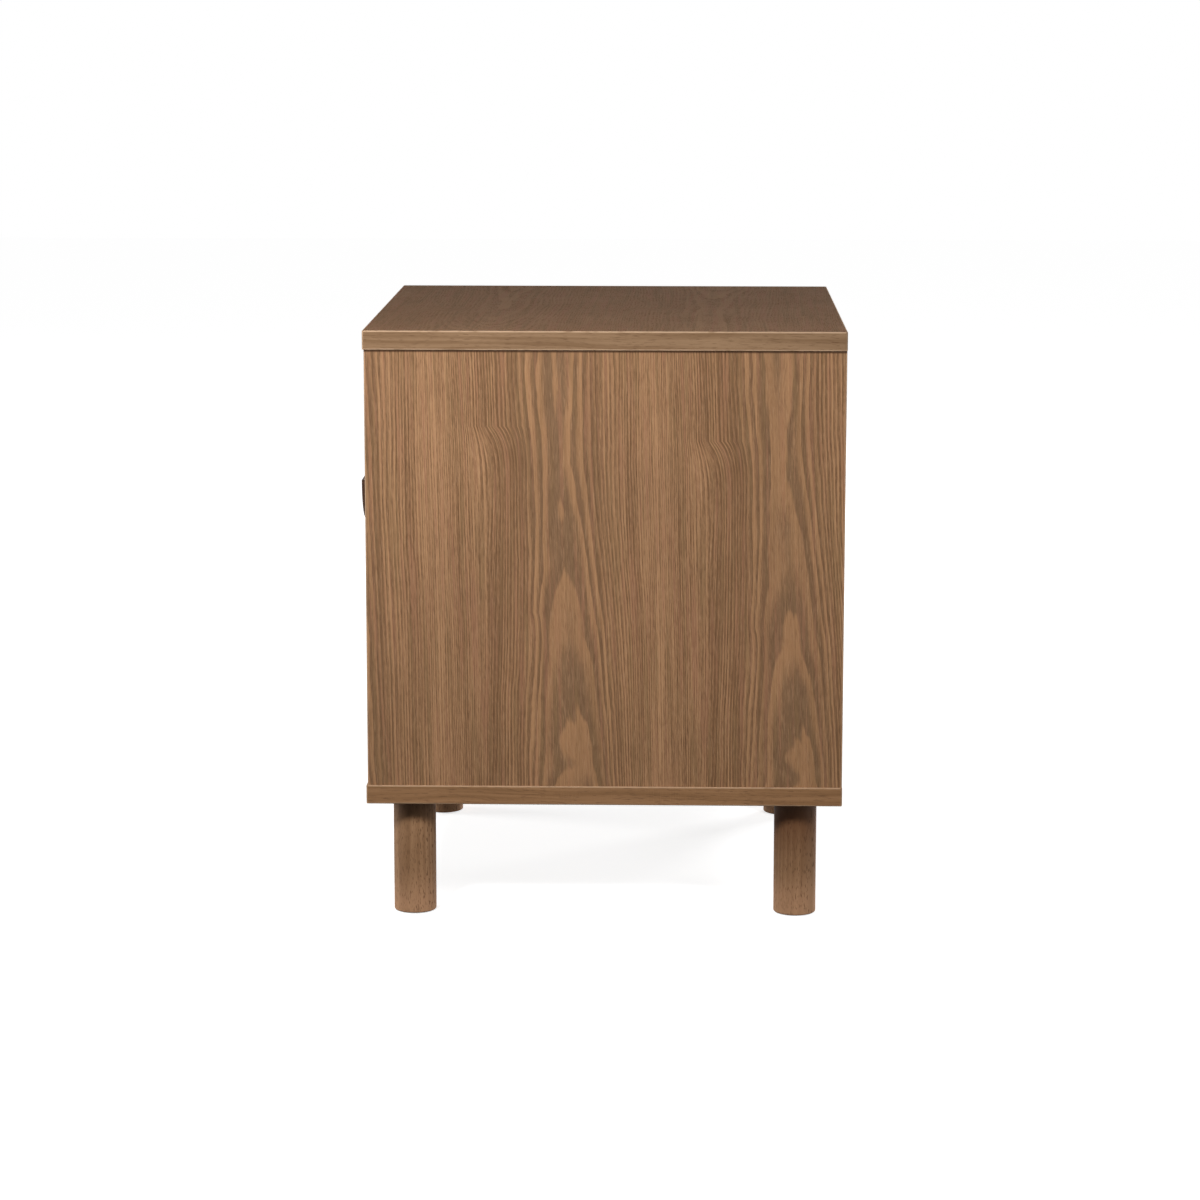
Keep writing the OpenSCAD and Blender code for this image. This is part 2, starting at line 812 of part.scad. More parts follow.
// Half-moon pull: half a turned disc with its flat side up and a finger hollow behind its front wall
module drawer_pull() {
  color(dark_wood) in_frame() difference() {
    intersection() {
      translate([0, face_y, pull_z]) rotate([90, 0, 0]) rotate([0, 0, 180]) rotate_extrude(angle = 180)
        disc_section(pull_r, pull_depth, pull_edge_r);
      translate([-pull_r - over, face_y - pull_depth, pull_z - 2 * pull_r]) rotate([90, 0, 90])
        linear_extrude(2 * pull_r + 2 * over) nosed_rect(pull_depth + pull_top_r, 2 * pull_r, pull_top_r);
    }
    translate([0, face_y + over, pull_z]) rotate([90, 0, 0]) rotate_extrude()
      disc_section(pull_r - rim_w, pull_depth - lip_t + over, hollow_r);
    at_pull_screws() translate([0, 0, -board_t - insert_l - 2 * fit])
      cylinder(h = insert_l + over + fit, r = pull_screw_d / 2 + insert_wall + fit);
  }
}

module pull_screws() {
  color(zinc) in_frame() at_pull_screws() pan_screw(pull_screw_d, board_t + insert_l - 2 * fit, pan_r, pan_h);
}

// Threaded sleeves in the pull for its screws
module pull_inserts() {
  color(brass) in_frame() at_pull_screws() translate([0, 0, -board_t - insert_l]) difference() {
    cylinder(h = insert_l, r = pull_screw_d / 2 + insert_wall);
    translate([0, 0, -over]) cylinder(h = insert_l + 2 * over, d = pull_screw_d + 2 * fit);
  }
}

top_panel();
bottom_panel();
side_panel_left();
side_panel_right();
niche_shelf();
back_panel();
leg_front_left();
leg_front_right();
leg_back_left();
leg_back_right();
foot_pads();
leg_hanger_bolts();
leg_tee_nuts();
carcass_dowels();
cam_locks();
cam_bolts();
cam_caps();
runner_cabinet_left();
runner_cabinet_right();
runner_cabinet_screws();
runner_middle_left();
runner_middle_right();
ball_cage_outer_left();
ball_cage_outer_right();
ball_cage_inner_left();
ball_cage_inner_right();
balls_outer_left();
balls_outer_right();
balls_inner_left();
balls_inner_right();
runner_drawer_left();
runner_drawer_right();
runner_drawer_screws();
drawer_front();
drawer_box_front();
drawer_side_left();
drawer_side_right();
drawer_back();
drawer_bottom();
drawer_dowels();
drawer_front_screws();
drawer_pull();
pull_screws();
pull_inserts();
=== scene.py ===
"""Looks of a veneered nightstand with one deep drawer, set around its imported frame.

The frame gives every solid its place. This file gives each of them a finish, models the
soft pads under the legs, and sets up the plain studio and the camera.
Lengths are in metres.
"""

import logging
import math
from dataclasses import dataclass, replace
from enum import Enum
from typing import Callable, Iterable, Sequence, Union

import bmesh
import bpy
from mathutils import Matrix, Vector

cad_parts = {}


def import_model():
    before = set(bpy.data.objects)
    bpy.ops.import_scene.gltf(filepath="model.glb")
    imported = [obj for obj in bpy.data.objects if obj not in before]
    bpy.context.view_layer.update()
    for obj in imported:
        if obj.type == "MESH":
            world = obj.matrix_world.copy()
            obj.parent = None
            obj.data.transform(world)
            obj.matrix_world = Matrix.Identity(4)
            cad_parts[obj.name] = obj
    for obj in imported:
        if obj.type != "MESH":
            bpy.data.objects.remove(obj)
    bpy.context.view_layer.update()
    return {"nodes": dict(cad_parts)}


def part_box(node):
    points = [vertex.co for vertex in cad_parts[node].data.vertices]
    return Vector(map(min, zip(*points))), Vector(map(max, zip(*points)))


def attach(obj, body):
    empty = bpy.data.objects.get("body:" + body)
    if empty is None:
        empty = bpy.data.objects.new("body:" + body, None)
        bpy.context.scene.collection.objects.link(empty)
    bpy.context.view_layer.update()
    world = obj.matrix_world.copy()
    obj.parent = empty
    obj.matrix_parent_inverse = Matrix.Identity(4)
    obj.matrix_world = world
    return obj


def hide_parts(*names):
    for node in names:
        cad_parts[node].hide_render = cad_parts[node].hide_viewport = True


LOG = logging.getLogger("nightstand")

Socket = bpy.types.NodeSocket
Colour = tuple[float, float, float]


class Axis(Enum):
    """A direction of the shared frame, by its place in a vector."""

    X = 0
    Y = 1
    Z = 2


def shade(red: int, green: int, blue: int) -> Colour:
    """Turns a colour as a screen shows it into the linear light that a shader takes.

    Args:
        red: Red, from 0 to 255.
        green: Green, from 0 to 255.
        blue: Blue, from 0 to 255.

    Returns:
        The three linear values.
    """

    def linear(level: int) -> float:
        """Returns one channel as linear light."""
        part = level / 255.0
        return part / 12.92 if part <= 0.04045 else ((part + 0.055) / 1.055) ** 2.4

    return linear(red), linear(green), linear(blue)


# Node wiring


class Number:
    """A socket that can be reckoned with like a plain number."""

    def __init__(self, graph: "Graph", socket: Socket) -> None:
        """Keeps the socket and the graph that it belongs to.

        Args:
            graph: The graph.
            socket: The socket.
        """
        self.graph = graph
        self.socket = socket

    def __add__(self, other: "Value") -> "Number":
        """Returns the sum."""
        return self.graph.math("ADD", self, other)

    def __sub__(self, other: "Value") -> "Number":
        """Returns this number less the other."""
        return self.graph.math("SUBTRACT", self, other)

    def __rsub__(self, other: float) -> "Number":
        """Returns the other number less this one."""
        return self.graph.math("SUBTRACT", other, self)

    def __mul__(self, other: "Value") -> "Number":
        """Returns the product."""
        return self.graph.math("MULTIPLY", self, other)

    def __truediv__(self, other: "Value") -> "Number":
        """Returns the ratio."""
        return self.graph.math("DIVIDE", self, other)


Value = Union[float, Number, Socket]
Where = Union[Sequence[float], Socket]
Given = dict[str, Union[Number, Socket]]


class Graph:
    """Adds nodes to one node tree and joins them."""

    def __init__(self, tree: bpy.types.NodeTree) -> None:
        """Keeps the tree that all nodes go into.

        Args:
            tree: A material's tree, or a node group.
        """
        self.tree = tree

    @classmethod
    def fresh(cls, holder: Union[bpy.types.Material, bpy.types.World]) -> "Graph":
        """Empties the node tree of a material or of the world.

        Args:
            holder: The material or the world.

        Returns:
            The graph of its tree.
        """
        holder.use_nodes = True
        holder.node_tree.nodes.clear()
        return cls(holder.node_tree)

    def add(self, kind: str, *values: object, **settings: object) -> bpy.types.Node:
        """Adds one node.

        Args:
            kind: Blender's name of the node type.
            values: What goes into its inputs, in order.
            settings: Properties of the node to set.

        Returns:
            The new node.
        """
        node = self.tree.nodes.new(kind)
        for name, setting in settings.items():
            setattr(node, name, setting)
        for socket, value in zip(node.inputs, values):
            self.feed(socket, value)
        return node

    def feed(self, socket: Socket, value: object) -> None:
        """Joins a socket to another, or gives it a plain value.

        Args:
            socket: The input that is fed.
            value: An output socket, a number, a vector or a colour.
        """
        source = value.socket if isinstance(value, Number) else value
        if isinstance(source, Socket):
            self.tree.links.new(source, socket)
        elif socket.type == "RGBA" and len(tuple(source)) == 3:
            socket.default_value = (*source, 1.0)
        else:
            socket.default_value = source

    def math(self, operation: str, *values: Value, clamp: bool = False) -> Number:
        """Works out a number from one, two or three others.

        Args:
            operation: Blender's name of the operation.
            values: The numbers, in order.
            clamp: Whether the result stays between 0 and 1.

        Returns:
            The result.
        """
        node = self.add("ShaderNodeMath", *values, operation=operation, use_clamp=clamp)
        return Number(self, node.outputs[0])

    def decay(self, away: Number, reach: Value) -> Number:
        """Returns a number that is 1 at no distance and falls off over a reach."""
        return self.math("EXPONENT", away / reach * -1.0)

    def bell(self, away: Number) -> Number:
        """Returns a bell that is 1 in its middle, from the distance in widths of the bell."""
        return self.math("EXPONENT", away * away * -1.0)

    def join(self, x: Value, y: Value, z: Value) -> Socket:
        """Returns the vector of three numbers."""
        return self.add("ShaderNodeCombineXYZ", x, y, z).outputs[0]

    def split(self, vector: Where) -> list[Number]:
        """Returns the three numbers of a vector."""
        return [Number(self, part) for part in self.add("ShaderNodeSeparateXYZ", vector).outputs]

    def noise(
        self, where: Where, scale: Value = 1.0, detail: float = 2.0, rough: float = 0.5
    ) -> Number:
        """Adds a soft random pattern.

        Args:
            where: The point that it is read at.
            scale: How many blobs there are in a unit.
            detail: How many finer layers lie on it.
            rough: How strong each finer layer is.

        Returns:
            The pattern, about 0.5 on average.
        """
        node = self.add("ShaderNodeTexNoise", where, noise_dimensions="3D")
        for name, value in (("Scale", scale), ("Detail", detail), ("Roughness", rough)):
            self.feed(node.inputs[name], value)
        return Number(self, node.outputs["Fac"])

    def mottle(self, where: Where, scale: float) -> Number:
        """Places the effect of broad soft patches, so many in a unit, from 0 to 1."""
        return patches(self, point=where, scale=scale)["level"]

    def named(self, sockets: Iterable[Socket]) -> Given:
        """Returns sockets by name, those that carry a number ready to be reckoned with."""
        return {one.name: Number(self, one) if one.type == "VALUE" else one for one in sockets if one.name}

    def chance(self, where: Where) -> Number:
        """Returns a random number from 0 to 1 for each value of a vector."""
        return Number(self, self.add("ShaderNodeTexWhiteNoise", where).outputs["Value"])

    def span(
        self, value: Value, low: float, high: float, start: float = 0.0, end: float = 1.0
    ) -> Number:
        """Maps a range to another, smoothly and without passing its ends.

        Args:
            value: What is mapped.
            low: Where the range starts.
            high: Where it ends.
            start: Result at low.
            end: Result at high.

        Returns:
            The result.
        """
        inputs = (value, low, high, start, end)
        node = self.add("ShaderNodeMapRange", *inputs, interpolation_type="SMOOTHSTEP")
        return Number(self, node.outputs[0])

    def curve(self, value: Value, stops: Sequence[tuple[float, float]]) -> Number:
        """Turns a number from 0 to 1 into another, by straight lines between stops.

        Args:
            value: What is read off.
            stops: Pairs of place and result.

        Returns:
            The result.
        """
        node = self.add("ShaderNodeValToRGB", value)
        points = node.color_ramp.elements
        points[0].position, points[-1].position = stops[0][0], stops[-1][0]
        for place, _ in stops[1:-1]:
            points.new(place)
        for point, (_, level) in zip(points, stops):
            point.color = (level, level, level, 1.0)
        return Number(self, self.add("ShaderNodeRGBToBW", node.outputs[0]).outputs[0])

    def blend(self, share: Value, first: Value, second: Value) -> Number:
        """Mixes two numbers.

        Args:
            share: How much of the second there is, from 0 to 1.
            first: The number at 0.
            second: The number at 1.

        Returns:
            The mixed number.
        """
        node = self.add("ShaderNodeMix", share, data_type="FLOAT")
        self.feed(node.inputs[2], first)
        self.feed(node.inputs[3], second)
        return Number(self, node.outputs[0])

    def tint(self, share: Value, first: object, second: object) -> Socket:
        """Mixes two colours.

        Args:
            share: How much of the second there is, from 0 to 1.
            first: The colour at 0.
            second: The colour at 1.

        Returns:
            The mixed colour's socket.
        """
        node = self.add("ShaderNodeMix", share, data_type="RGBA")
        self.feed(node.inputs[6], first)
        self.feed(node.inputs[7], second)
        return node.outputs[2]

    def lines(self, across: Value, along: Value, width: float, length: float, seed: Value) -> Number:
        """Places the effect of fine lines along the grain.

        Args:
            across: Place across the grain.
            along: Place along the grain.
            width: Width of a line.
            length: Its length.
            seed: Sets one pattern apart from the next.

        Returns:
            The lines, from 0 to 1.
        """
        return streaks(self, across=across, along=along, width=width, length=length, seed=seed)["level"]


# Shared effects

Body = Callable[[Graph, Given], Given]

# How far slow bends, waves and frays move the year rings.
WANDER, RIPPLE, FRAY = 0.013, 0.0060, 0.0016
# How far the arches' tips are drawn out, and over what width.
TIP, TIP_WIDTH = 0.0019, 0.012
# Over what length under a branch the grain starts to bend, and the mark of the bend fades.
BEND_START, MARK_FADE = 0.018, 0.035


class Effect:
    """A pattern that more than one material uses, as a node group with named sockets."""

    def __init__(self, body: Body, numbers: Sequence[str], vectors: Sequence[str]) -> None:
        """Keeps what the group is made of.

        Args:
            body: Adds the nodes and returns the outputs by name. It also names the group.
            numbers: Names of the inputs that are numbers.
            vectors: Names of the inputs that are vectors.
        """
        self.body = body
        self.inputs = dict.fromkeys(vectors, "NodeSocketVector")
        self.inputs.update(dict.fromkeys(numbers, "NodeSocketFloat"))

    def group(self) -> bpy.types.NodeTree:
        """Builds the group once, and hands it out again after that.

        Returns:
            The group.
        """
        name = self.body.__name__
        known = bpy.data.node_groups.get(name)
        if known is not None:
            return known
        group = bpy.data.node_groups.new(name, "ShaderNodeTree")
        for label, kind in self.inputs.items():
            group.interface.new_socket(name=label, in_out="INPUT", socket_type=kind)
        graph = Graph(group)
        made = self.body(graph, graph.named(graph.add("NodeGroupInput").outputs))
        for label in made:
            group.interface.new_socket(name=label, in_out="OUTPUT", socket_type="NodeSocketFloat")
        graph.add("NodeGroupOutput", *made.values())
        return group

    def __call__(self, g: Graph, **values: object) -> Given:
        """Places the group in a graph.

        Args:
            g: The graph.
            values: What goes into its inputs, by name.

        Returns:
            Its outputs by name.
        """
        node = g.add("ShaderNodeGroup", node_tree=self.group())
        for name, value in values.items():
            g.feed(node.inputs[name], value)
        return g.named(node.outputs)


def effect(*numbers: str, vectors: Sequence[str] = ()) -> Callable[[Body], Effect]:
    """Returns the decorator that makes an effect of a function, with inputs of these names."""
    return lambda body: Effect(body, numbers, vectors)


def drawn(g: Graph, given: Given) -> Socket:
    """Scales a point so that what is read there is drawn out along the grain.

    Args:
        g: The group's graph.
        given: Its inputs, with across, along, width, length and seed.

    Returns:
        The scaled point, with each column set off from the next.
    """
    column = given["across"] / given["width"]
    return g.join(column, column * 0.37 + given["along"] / given["length"], given["seed"])


@effect("across", "along", "centre", "width", "drop")
def leaf_split(g: Graph, given: Given) -> Given:
    """Lays slices of one log side by side, each a little lower.

    Args:
        g: The group's graph.
        given: Its inputs by name.

    Returns:
        The place across and along the slice that a point is in, and that slice's number.
    """
    turns = (given["across"] - given["centre"]) / given["width"]
    leaf = g.math("FLOOR", turns + 0.5)
    across = (turns - leaf) * given["width"]
    return {"across": across, "along": given["along"] + leaf * given["drop"], "leaf": leaf}


@effect("across", "along", "branch_across", "branch_along", "reach", "push", "tail")
def grain_kink(g: Graph, given: Given) -> Given:
    """Bends the grain aside below the trace of a small branch, fading along the grain.

    Args:
        g: The group's graph.
        given: Its inputs by name.

    Returns:
        The moved place across the grain, and a mark that is above 0 on one flank of the
        bend and below 0 on the other.
    """
    away = (given["across"] - given["branch_across"]) / given["reach"]
    bell = g.bell(away)
    below = g.math("MAXIMUM", given["branch_along"] - given["along"], 0.0)
    start = 1.0 - g.decay(below, BEND_START)
    push = start * g.decay(below, given["tail"]) * bell * given["push"]
    mark = start * g.decay(below, MARK_FADE) * (bell * away)
    return {"across": given["across"] - push, "mark": mark}


@effect("across", "along", "crest", "depth", "fall_up", "fall_down", "skew", "ring", "seed")
def ring_figure(g: Graph, given: Given) -> Given:
    """Cuts a flat slice through the year rings of a log, and counts them from its heart.

    The rings are close lines at the sides of a slice. In its middle they are wide, and
    close to pointed, frayed arches where the log tapers away from its crest.

    Args:
        g: The group's graph.
        given: Its inputs by name.

    Returns:
        The place in a ring and its number, and how wide the rings are there, from 0 to 1.
    """
    across, along, seed = given["across"], given["along"], given["seed"]
    across = across + (g.noise(g.join(across * 7.0, along * 3.2, seed), 1.0, 1.0) - 0.5) * WANDER
    over = along - given["crest"]
    up, down = g.math("MAXIMUM", over, 0.0), g.math("MINIMUM", over, 0.0)
    skew = g.span(across, -0.012, 0.02) - g.span(across, 0.025, 0.088)
    across = across + down * given["skew"] * skew
    aside = g.math("ABSOLUTE", across)
    below = down * down / (1.0 - down * 5.9)
    fall = up * up * given["fall_up"] + below * given["fall_down"]
    depth = given["depth"] - fall * g.span(aside, 0.012, 0.06, 1.0, 0.0)
    depth = depth + (g.noise(g.join(across * 30.0, along * 12.0, seed)) - 0.5) * RIPPLE
    depth = depth + (g.noise(g.join(across * 330.0, along * 11.0, seed), rough=0.6) - 0.5) * FRAY
    reach = g.math("SQRT", across * across + depth * depth)
    reach = reach + (1.0 - g.decay(aside, TIP_WIDTH)) * TIP
    uneven = g.noise(g.join(reach * 90.0, seed, along * 0.4), detail=1.0) - 0.5
    outer = g.math("MAXIMUM", reach - given["depth"], 0.0)
    rings = reach / given["ring"] + uneven * 1.8 + outer * outer * 3600.0
    slant = aside / g.math("MAXIMUM", reach, 0.001)
    return {
        "place": g.math("FRACT", rings),
        "number": g.math("FLOOR", rings),
        "wide": g.math("SUBTRACT", 1.0, slant, clamp=True),
    }


@effect("across", "along", "width", "length", "seed")
def streaks(g: Graph, given: Given) -> Given:
    """Returns fine lines that run along the grain, from 0 to 1."""
    return {"level": g.noise(drawn(g, given), 1.0, 2.0, 0.6)}


@effect("scale", vectors=("point",))
def patches(g: Graph, given: Given) -> Given:
    """Returns broad soft patches, from 0 to 1."""
    return {"level": g.noise(given["point"], given["scale"], 3.0, 0.55)}


@effect("across", "along", "place", "width")
def vein(g: Graph, given: Given) -> Given:
    """Draws one thin line along the grain, which comes and goes.

    Args:
        g: The group's graph.
        given: Its inputs by name.

    Returns:
        The mask of the line.
    """
    bell = g.bell((given["across"] - given["place"]) / given["width"])
    come = g.noise(g.join(given["along"] * 14.0, given["place"], 0.3))
    return {"mask": bell * g.span(come, 0.25, 0.6)}


@effect("across", "along", "width", "length", "share", "seed")
def pores(g: Graph, given: Given) -> Given:
    """Draws short open pores, by keeping the lowest parts of a drawn out pattern.

    Args:
        g: The group's graph.
        given: Its inputs by name.

    Returns:
        The mask of the pores.
    """
    fine = g.noise(drawn(g, given), 1.0, 1.0, 0.4)
    limit = given["share"] * 0.22 + 0.28
    return {"mask": g.math("DIVIDE", limit - fine, 0.06, clamp=True)}


@effect("width", vectors=("point", "low", "high"))
def edge_rub(g: Graph, given: Given) -> Given:
    """Finds the line along the edges of a board that is painted lighter, partly as wear and partly as a
    highlight, from the middle of three distances.

    Args:
        g: The group's graph.
        given: Its inputs by name.

    Returns:
        The mask of the line.
    """
    point, low, high = (g.split(given[name]) for name in ("point", "low", "high"))
    over = [here - least for here, least in zip(point, low)]
    under = [most - here for here, most in zip(point, high)]
    x, y, z = (g.math("MINIMUM", *pair) for pair in zip(over, under))
    larger = g.math("MINIMUM", g.math("MAXIMUM", x, y), z)
    middle = g.math("MAXIMUM", g.math("MINIMUM", x, y), larger)
    line = g.span(middle / given["width"], 0.35, 1.0, 1.0, 0.0)
    patch = g.span(g.noise(given["point"], 60.0, 3.0, 0.6), 0.25, 0.5, 0.3, 1.0)
    return {"mask": line * patch}


# Finishes

# How nearly a normal follows an axis where a face counts as turned along it.
FACING = 0.7
# How far a board with a shaded joint is taken to go on past its ends, which other boards cover.
COVERED = 0.01


@dataclass(frozen=True)
class Board:
    """How a veneered board is cut: its node, and which way its grain runs.

    Attributes:
        node: The CAD node's name.
        face: The axis that goes through the board.
        grain: The axis that the grain of the faces follows.
        centre: Where the middle of one slice of veneer lies, across the grain.
        crest: Where the arches of the figure turn, along the grain.
        seed: Sets one board's pattern apart from the next.
        figure: How strongly the figure shows, from 0 to 1.
        tone: How much darker the board's faces are, partly a darker stain and partly painted shade, from 0
            to 1.
        seam: Whether a painted shadow line runs along its upper end, under the board above.
        sheen: How strongly its lacquer reflects.
        rub: How strongly its edges are painted lighter, partly as wear and partly as a highlight, from 0
            to 1.
        strip: The darker and the lighter tone of the veneer on its edges.
        slip: How far that veneer is shifted along its run, in metres.
    """

    node: str
    face: Axis
    grain: Axis
    centre: float = 0.0
    crest: float = 0.0
    seed: float = 0.0
    figure: float = 1.0
    tone: float = 0.0
    seam: bool = False
    sheen: float = 0.12
    rub: float = 0.45
    strip: tuple[Colour, Colour] = (shade(130, 95, 63), shade(156, 117, 82))
    slip: float = 0.0

    @property
    def cross(self) -> Axis:
        """The axis across the grain, in the face."""
        return next(axis for axis in Axis if axis not in (self.face, self.grain))


class Finish:
    """What all finishes share: a material with one principled shader."""

    name: str

    def start(self, name: str) -> tuple[bpy.types.Material, Graph, bpy.types.Node, Socket]:
        """Makes an empty material.

        Args:
            name: The material's name.

        Returns:
            The material, its graph, its shader, and the place of a point on the piece.
        """
        material = bpy.data.materials.new(name)
        graph = Graph.fresh(material)
        shader = graph.add("ShaderNodeBsdfPrincipled")
        graph.add("ShaderNodeOutputMaterial", shader.outputs[0])
        return material, graph, shader, graph.add("ShaderNodeTexCoord").outputs["Object"]

    def bump(
        self, graph: Graph, shader: bpy.types.Node, height: Number, depth: float, strength: float
    ) -> None:
        """Gives the surface small heights.

        Args:
            graph: The material's graph.
            shader: Its shader.
            height: The height, from 0 to 1.
            depth: How deep 1 is, in metres.
            strength: How strongly it shows.
        """
        node = graph.add("ShaderNodeBump")
        node.inputs["Strength"].default_value = strength
        node.inputs["Distance"].default_value = depth
        graph.feed(node.inputs["Height"], height)
        graph.feed(shader.inputs["Normal"], node.outputs[0])


@dataclass(frozen=True)
class VeneerFinish(Finish):
    """Stained ash veneer under satin lacquer, with solid looking edges.

    Attributes:
        name: Start of the materials' names.
        early: The open, darker wood that starts a ring.
        late: The smooth, lighter wood that ends it.
        grey: The tone of the open wood where the rings are wide.
        glow: The warm tone of a wide smooth band.
        rose: The tone of the pinker streaks.
        olive: The tone of the duller streaks.
        pore: The stain that settles in the pores.
        dull: The tone of the duller patches.
        stain: The tone that a darker board goes to, partly stain and partly painted shade.
        bare: The lighter tone of the edges, partly rubbed wood and partly painted highlight.
        fleck: The tone of the light flecks.
        joint: The tone of the painted shadow line under the board above.
        gap: How far down that line is full, and where it ends, in metres.
        ring: Width of a ring, in metres.
        leaf: Width of a slice of veneer.
        drop: How much lower the next slice lies.
        arris: Width of the lighter line along an edge, partly wear and partly painted highlight.
        depth: How far the slice is from the log's heart at the crest.
        step: How much deeper the next slice lies.
        lean: How far the grain leans across for each metre along.
        branches: Traces of small branches: place across the slice, height over the crest,
            reach, push, and how far down the push fades.
        ramp: Tone through one ring, as pairs of place and level.
        bands: Tone across the slice, as pairs of place and level.
    """

    name: str = "walnut_veneer"
    early: Colour = shade(106, 75, 49)
    late: Colour = shade(172, 131, 95)
    grey: Colour = shade(124, 95, 69)
    glow: Colour = shade(164, 121, 84)
    rose: Colour = shade(151, 108, 81)
    olive: Colour = shade(128, 99, 68)
    pore: Colour = shade(88, 60, 42)
    dull: Colour = shade(104, 78, 58)
    stain: Colour = shade(84, 62, 45)
    bare: Colour = shade(206, 174, 144)
    fleck: Colour = shade(186, 148, 114)
    joint: Colour = shade(52, 31, 18)
    gap: tuple[float, float] = (0.0010, 0.0024)
    ring: float = 0.0040
    leaf: float = 0.1837
    drop: float = 0.012
    arris: float = 0.0016
    depth: float = 0.0407
    step: float = -0.0020
    lean: float = 0.015
    branches: tuple[tuple[float, float, float, float, float], ...] = (
        (-0.048, 0.090, 0.020, 0.014, 0.16),
        (-0.022, -0.066, 0.008, 0.006, 0.05),
    )
    ramp: tuple[tuple[float, float], ...] = (
        (0.0, 0.05), (0.12, 0.0), (0.35, 0.15), (0.5, 0.5), (0.64, 0.8), (0.92, 1.0), (1.0, 0.05),
    )
    bands: tuple[tuple[float, float], ...] = (
        (0.0, 0.66), (0.16, 0.43), (0.3, 0.34), (0.5, 0.52), (0.67, 0.38), (0.94, 0.74), (1.0, 0.66),
    )

    def dress(self, board: Board, low: Vector, high: Vector) -> bpy.types.Material:
        """Builds the material of one board.

        Args:
            board: How the board is cut.
            low: The board's lowest corner.
            high: Its highest corner.

        Returns:
            The material.
        """
        material, g, shader, where = self.start(f"{self.name}_{board.node}")
        point = g.split(where)
        normal = g.add("ShaderNodeTexCoord").outputs["Normal"]
        facing = [g.math("ABSOLUTE", part) for part in g.split(normal)]
        end = g.math("GREATER_THAN", facing[board.grain.value], FACING)
        side = g.math("GREATER_THAN", facing[board.cross.value], FACING)
        edge = g.math("MAXIMUM", end, side)

        face_colour, face_pores, face_height = self.figure(g, board, point)
        edge_colour, edge_pores = self.strip(g, board, point, end)
        colour = g.tint(edge, face_colour, edge_colour)
        open_pores = g.blend(edge, face_pores, edge_pores)
        patch = g.mottle(where, 7.0)
        colour = g.tint(g.span(patch, 0.3, 0.7, 0.0, 0.16), colour, self.dull)
        # Partly a darker stain and partly painted shade: the faces of a darker board.
        if board.tone:
            stain = (1.0 - edge) * board.tone
            colour = g.tint(stain, colour, self.stain)
        spare = Vector([COVERED if board.seam and axis is board.grain else 0.0 for axis in Axis])
        ends = {"low": tuple(low - spare), "high": tuple(high + spare)}
        # Partly wear and partly a painted highlight: lighter along the edges.
        rub = edge_rub(g, point=where, **ends, width=self.arris)["mask"]
        colour = g.tint(rub * board.rub, colour, self.bare)
        # Painted shade: a dark line along the upper end, where the board above overhangs it.
        if board.seam:
            gap = high[board.grain.value] - point[board.grain.value]
            colour = g.tint(g.span(gap, *self.gap, 0.85, 0.0), colour, self.joint)
        g.feed(shader.inputs["Base Color"], colour)
        rough = g.blend(open_pores, 0.62, 0.74)
        g.feed(shader.inputs["Roughness"], patch * 0.08 + rough)
        shader.inputs["Specular IOR Level"].default_value = board.sheen
        self.bump(g, shader, face_height - open_pores * 0.7, 0.00018, 0.5)
        return material

    def figure(
        self, g: Graph, board: Board, point: Sequence[Number]
    ) -> tuple[Socket, Number, Number]:
        """Draws the veneer of the two faces.

        Args:
            g: The material's graph.
            board: How the board is cut.
            point: The three coordinates.

        Returns:
            The colour, the mask of the pores, and the height.
        """
        leaf = leaf_split(
            g,
            across=point[board.cross.value],
            along=point[board.grain.value],
            centre=board.centre,
            width=self.leaf,
            drop=self.drop,
        )
        along = leaf["along"]
        lean = (along - board.crest) * self.lean
        across = leaf["across"] + lean
        share = g.math("FRACT", across / self.leaf + 0.5)
        mark: Value = 0.0
        for branch, height, reach, push, tail in self.branches:
            kink = grain_kink(
                g,
                across=across,
                along=along,
                branch_across=branch,
                branch_along=board.crest + height,
                reach=reach,
                push=push,
                tail=tail,
            )
            across = kink["across"]
            mark = kink["mark"] + mark
        seed = leaf["leaf"] * 0.07 + board.seed
        rings = ring_figure(
            g,
            across=across,
            along=along,
            crest=leaf["leaf"] * 0.036 + (board.crest + 0.06),
            depth=leaf["leaf"] * self.step + self.depth,
            fall_up=leaf["leaf"] * 0.27 + 0.03,
            fall_down=0.287,
            skew=g.math("ADD", leaf["leaf"], 1.0, clamp=True) * 0.07,
            ring=self.ring,
            seed=seed,
        )
        wide = rings["wide"]
        late = g.curve(rings["place"], self.ramp)
        own = g.chance(g.join(rings["number"], board.seed, 0.5))
        late = g.math("MULTIPLY", late, own * 0.45 + 0.6, clamp=True)
        strong = wide * 0.6 + 0.6
        fine = g.lines(across, along, 0.0010, 0.12, seed)
        broad = g.lines(across, along, 0.011, 0.5, seed)
        hair = g.lines(across, along, 0.0007, 0.006, board.seed + 53.0)
        band = g.curve(share, self.bands)
        level = (late - 0.5) * strong + 0.5
        for part, weight in ((fine, 2.4), (hair, 1.3), (broad, 1.2), (band, 1.15)):
            level = (part - 0.5) * weight + level
        light = vein(g, across=across, along=along, place=0.081, width=0.0006)["mask"]
        beside = leaf["leaf"] * 0.012 - 0.055
        dark = vein(g, across=across, along=along, place=beside, width=0.0010)["mask"]
        level = level - dark * 0.55 + light * 0.45 - mark * 1.6
        level = g.math("MULTIPLY_ADD", level - 0.5, board.figure, 0.5, clamp=True)
        early = g.tint(g.math("MULTIPLY", wide, 1.1, clamp=True), self.early, self.grey)
        colour = g.tint(level, early, self.late)
        hue = g.lines(across, along, 0.0042, 0.13, board.seed + 31.0)
        colour = g.tint(g.span(hue, 0.5, 0.68, 0.0, 0.65), colour, self.rose)
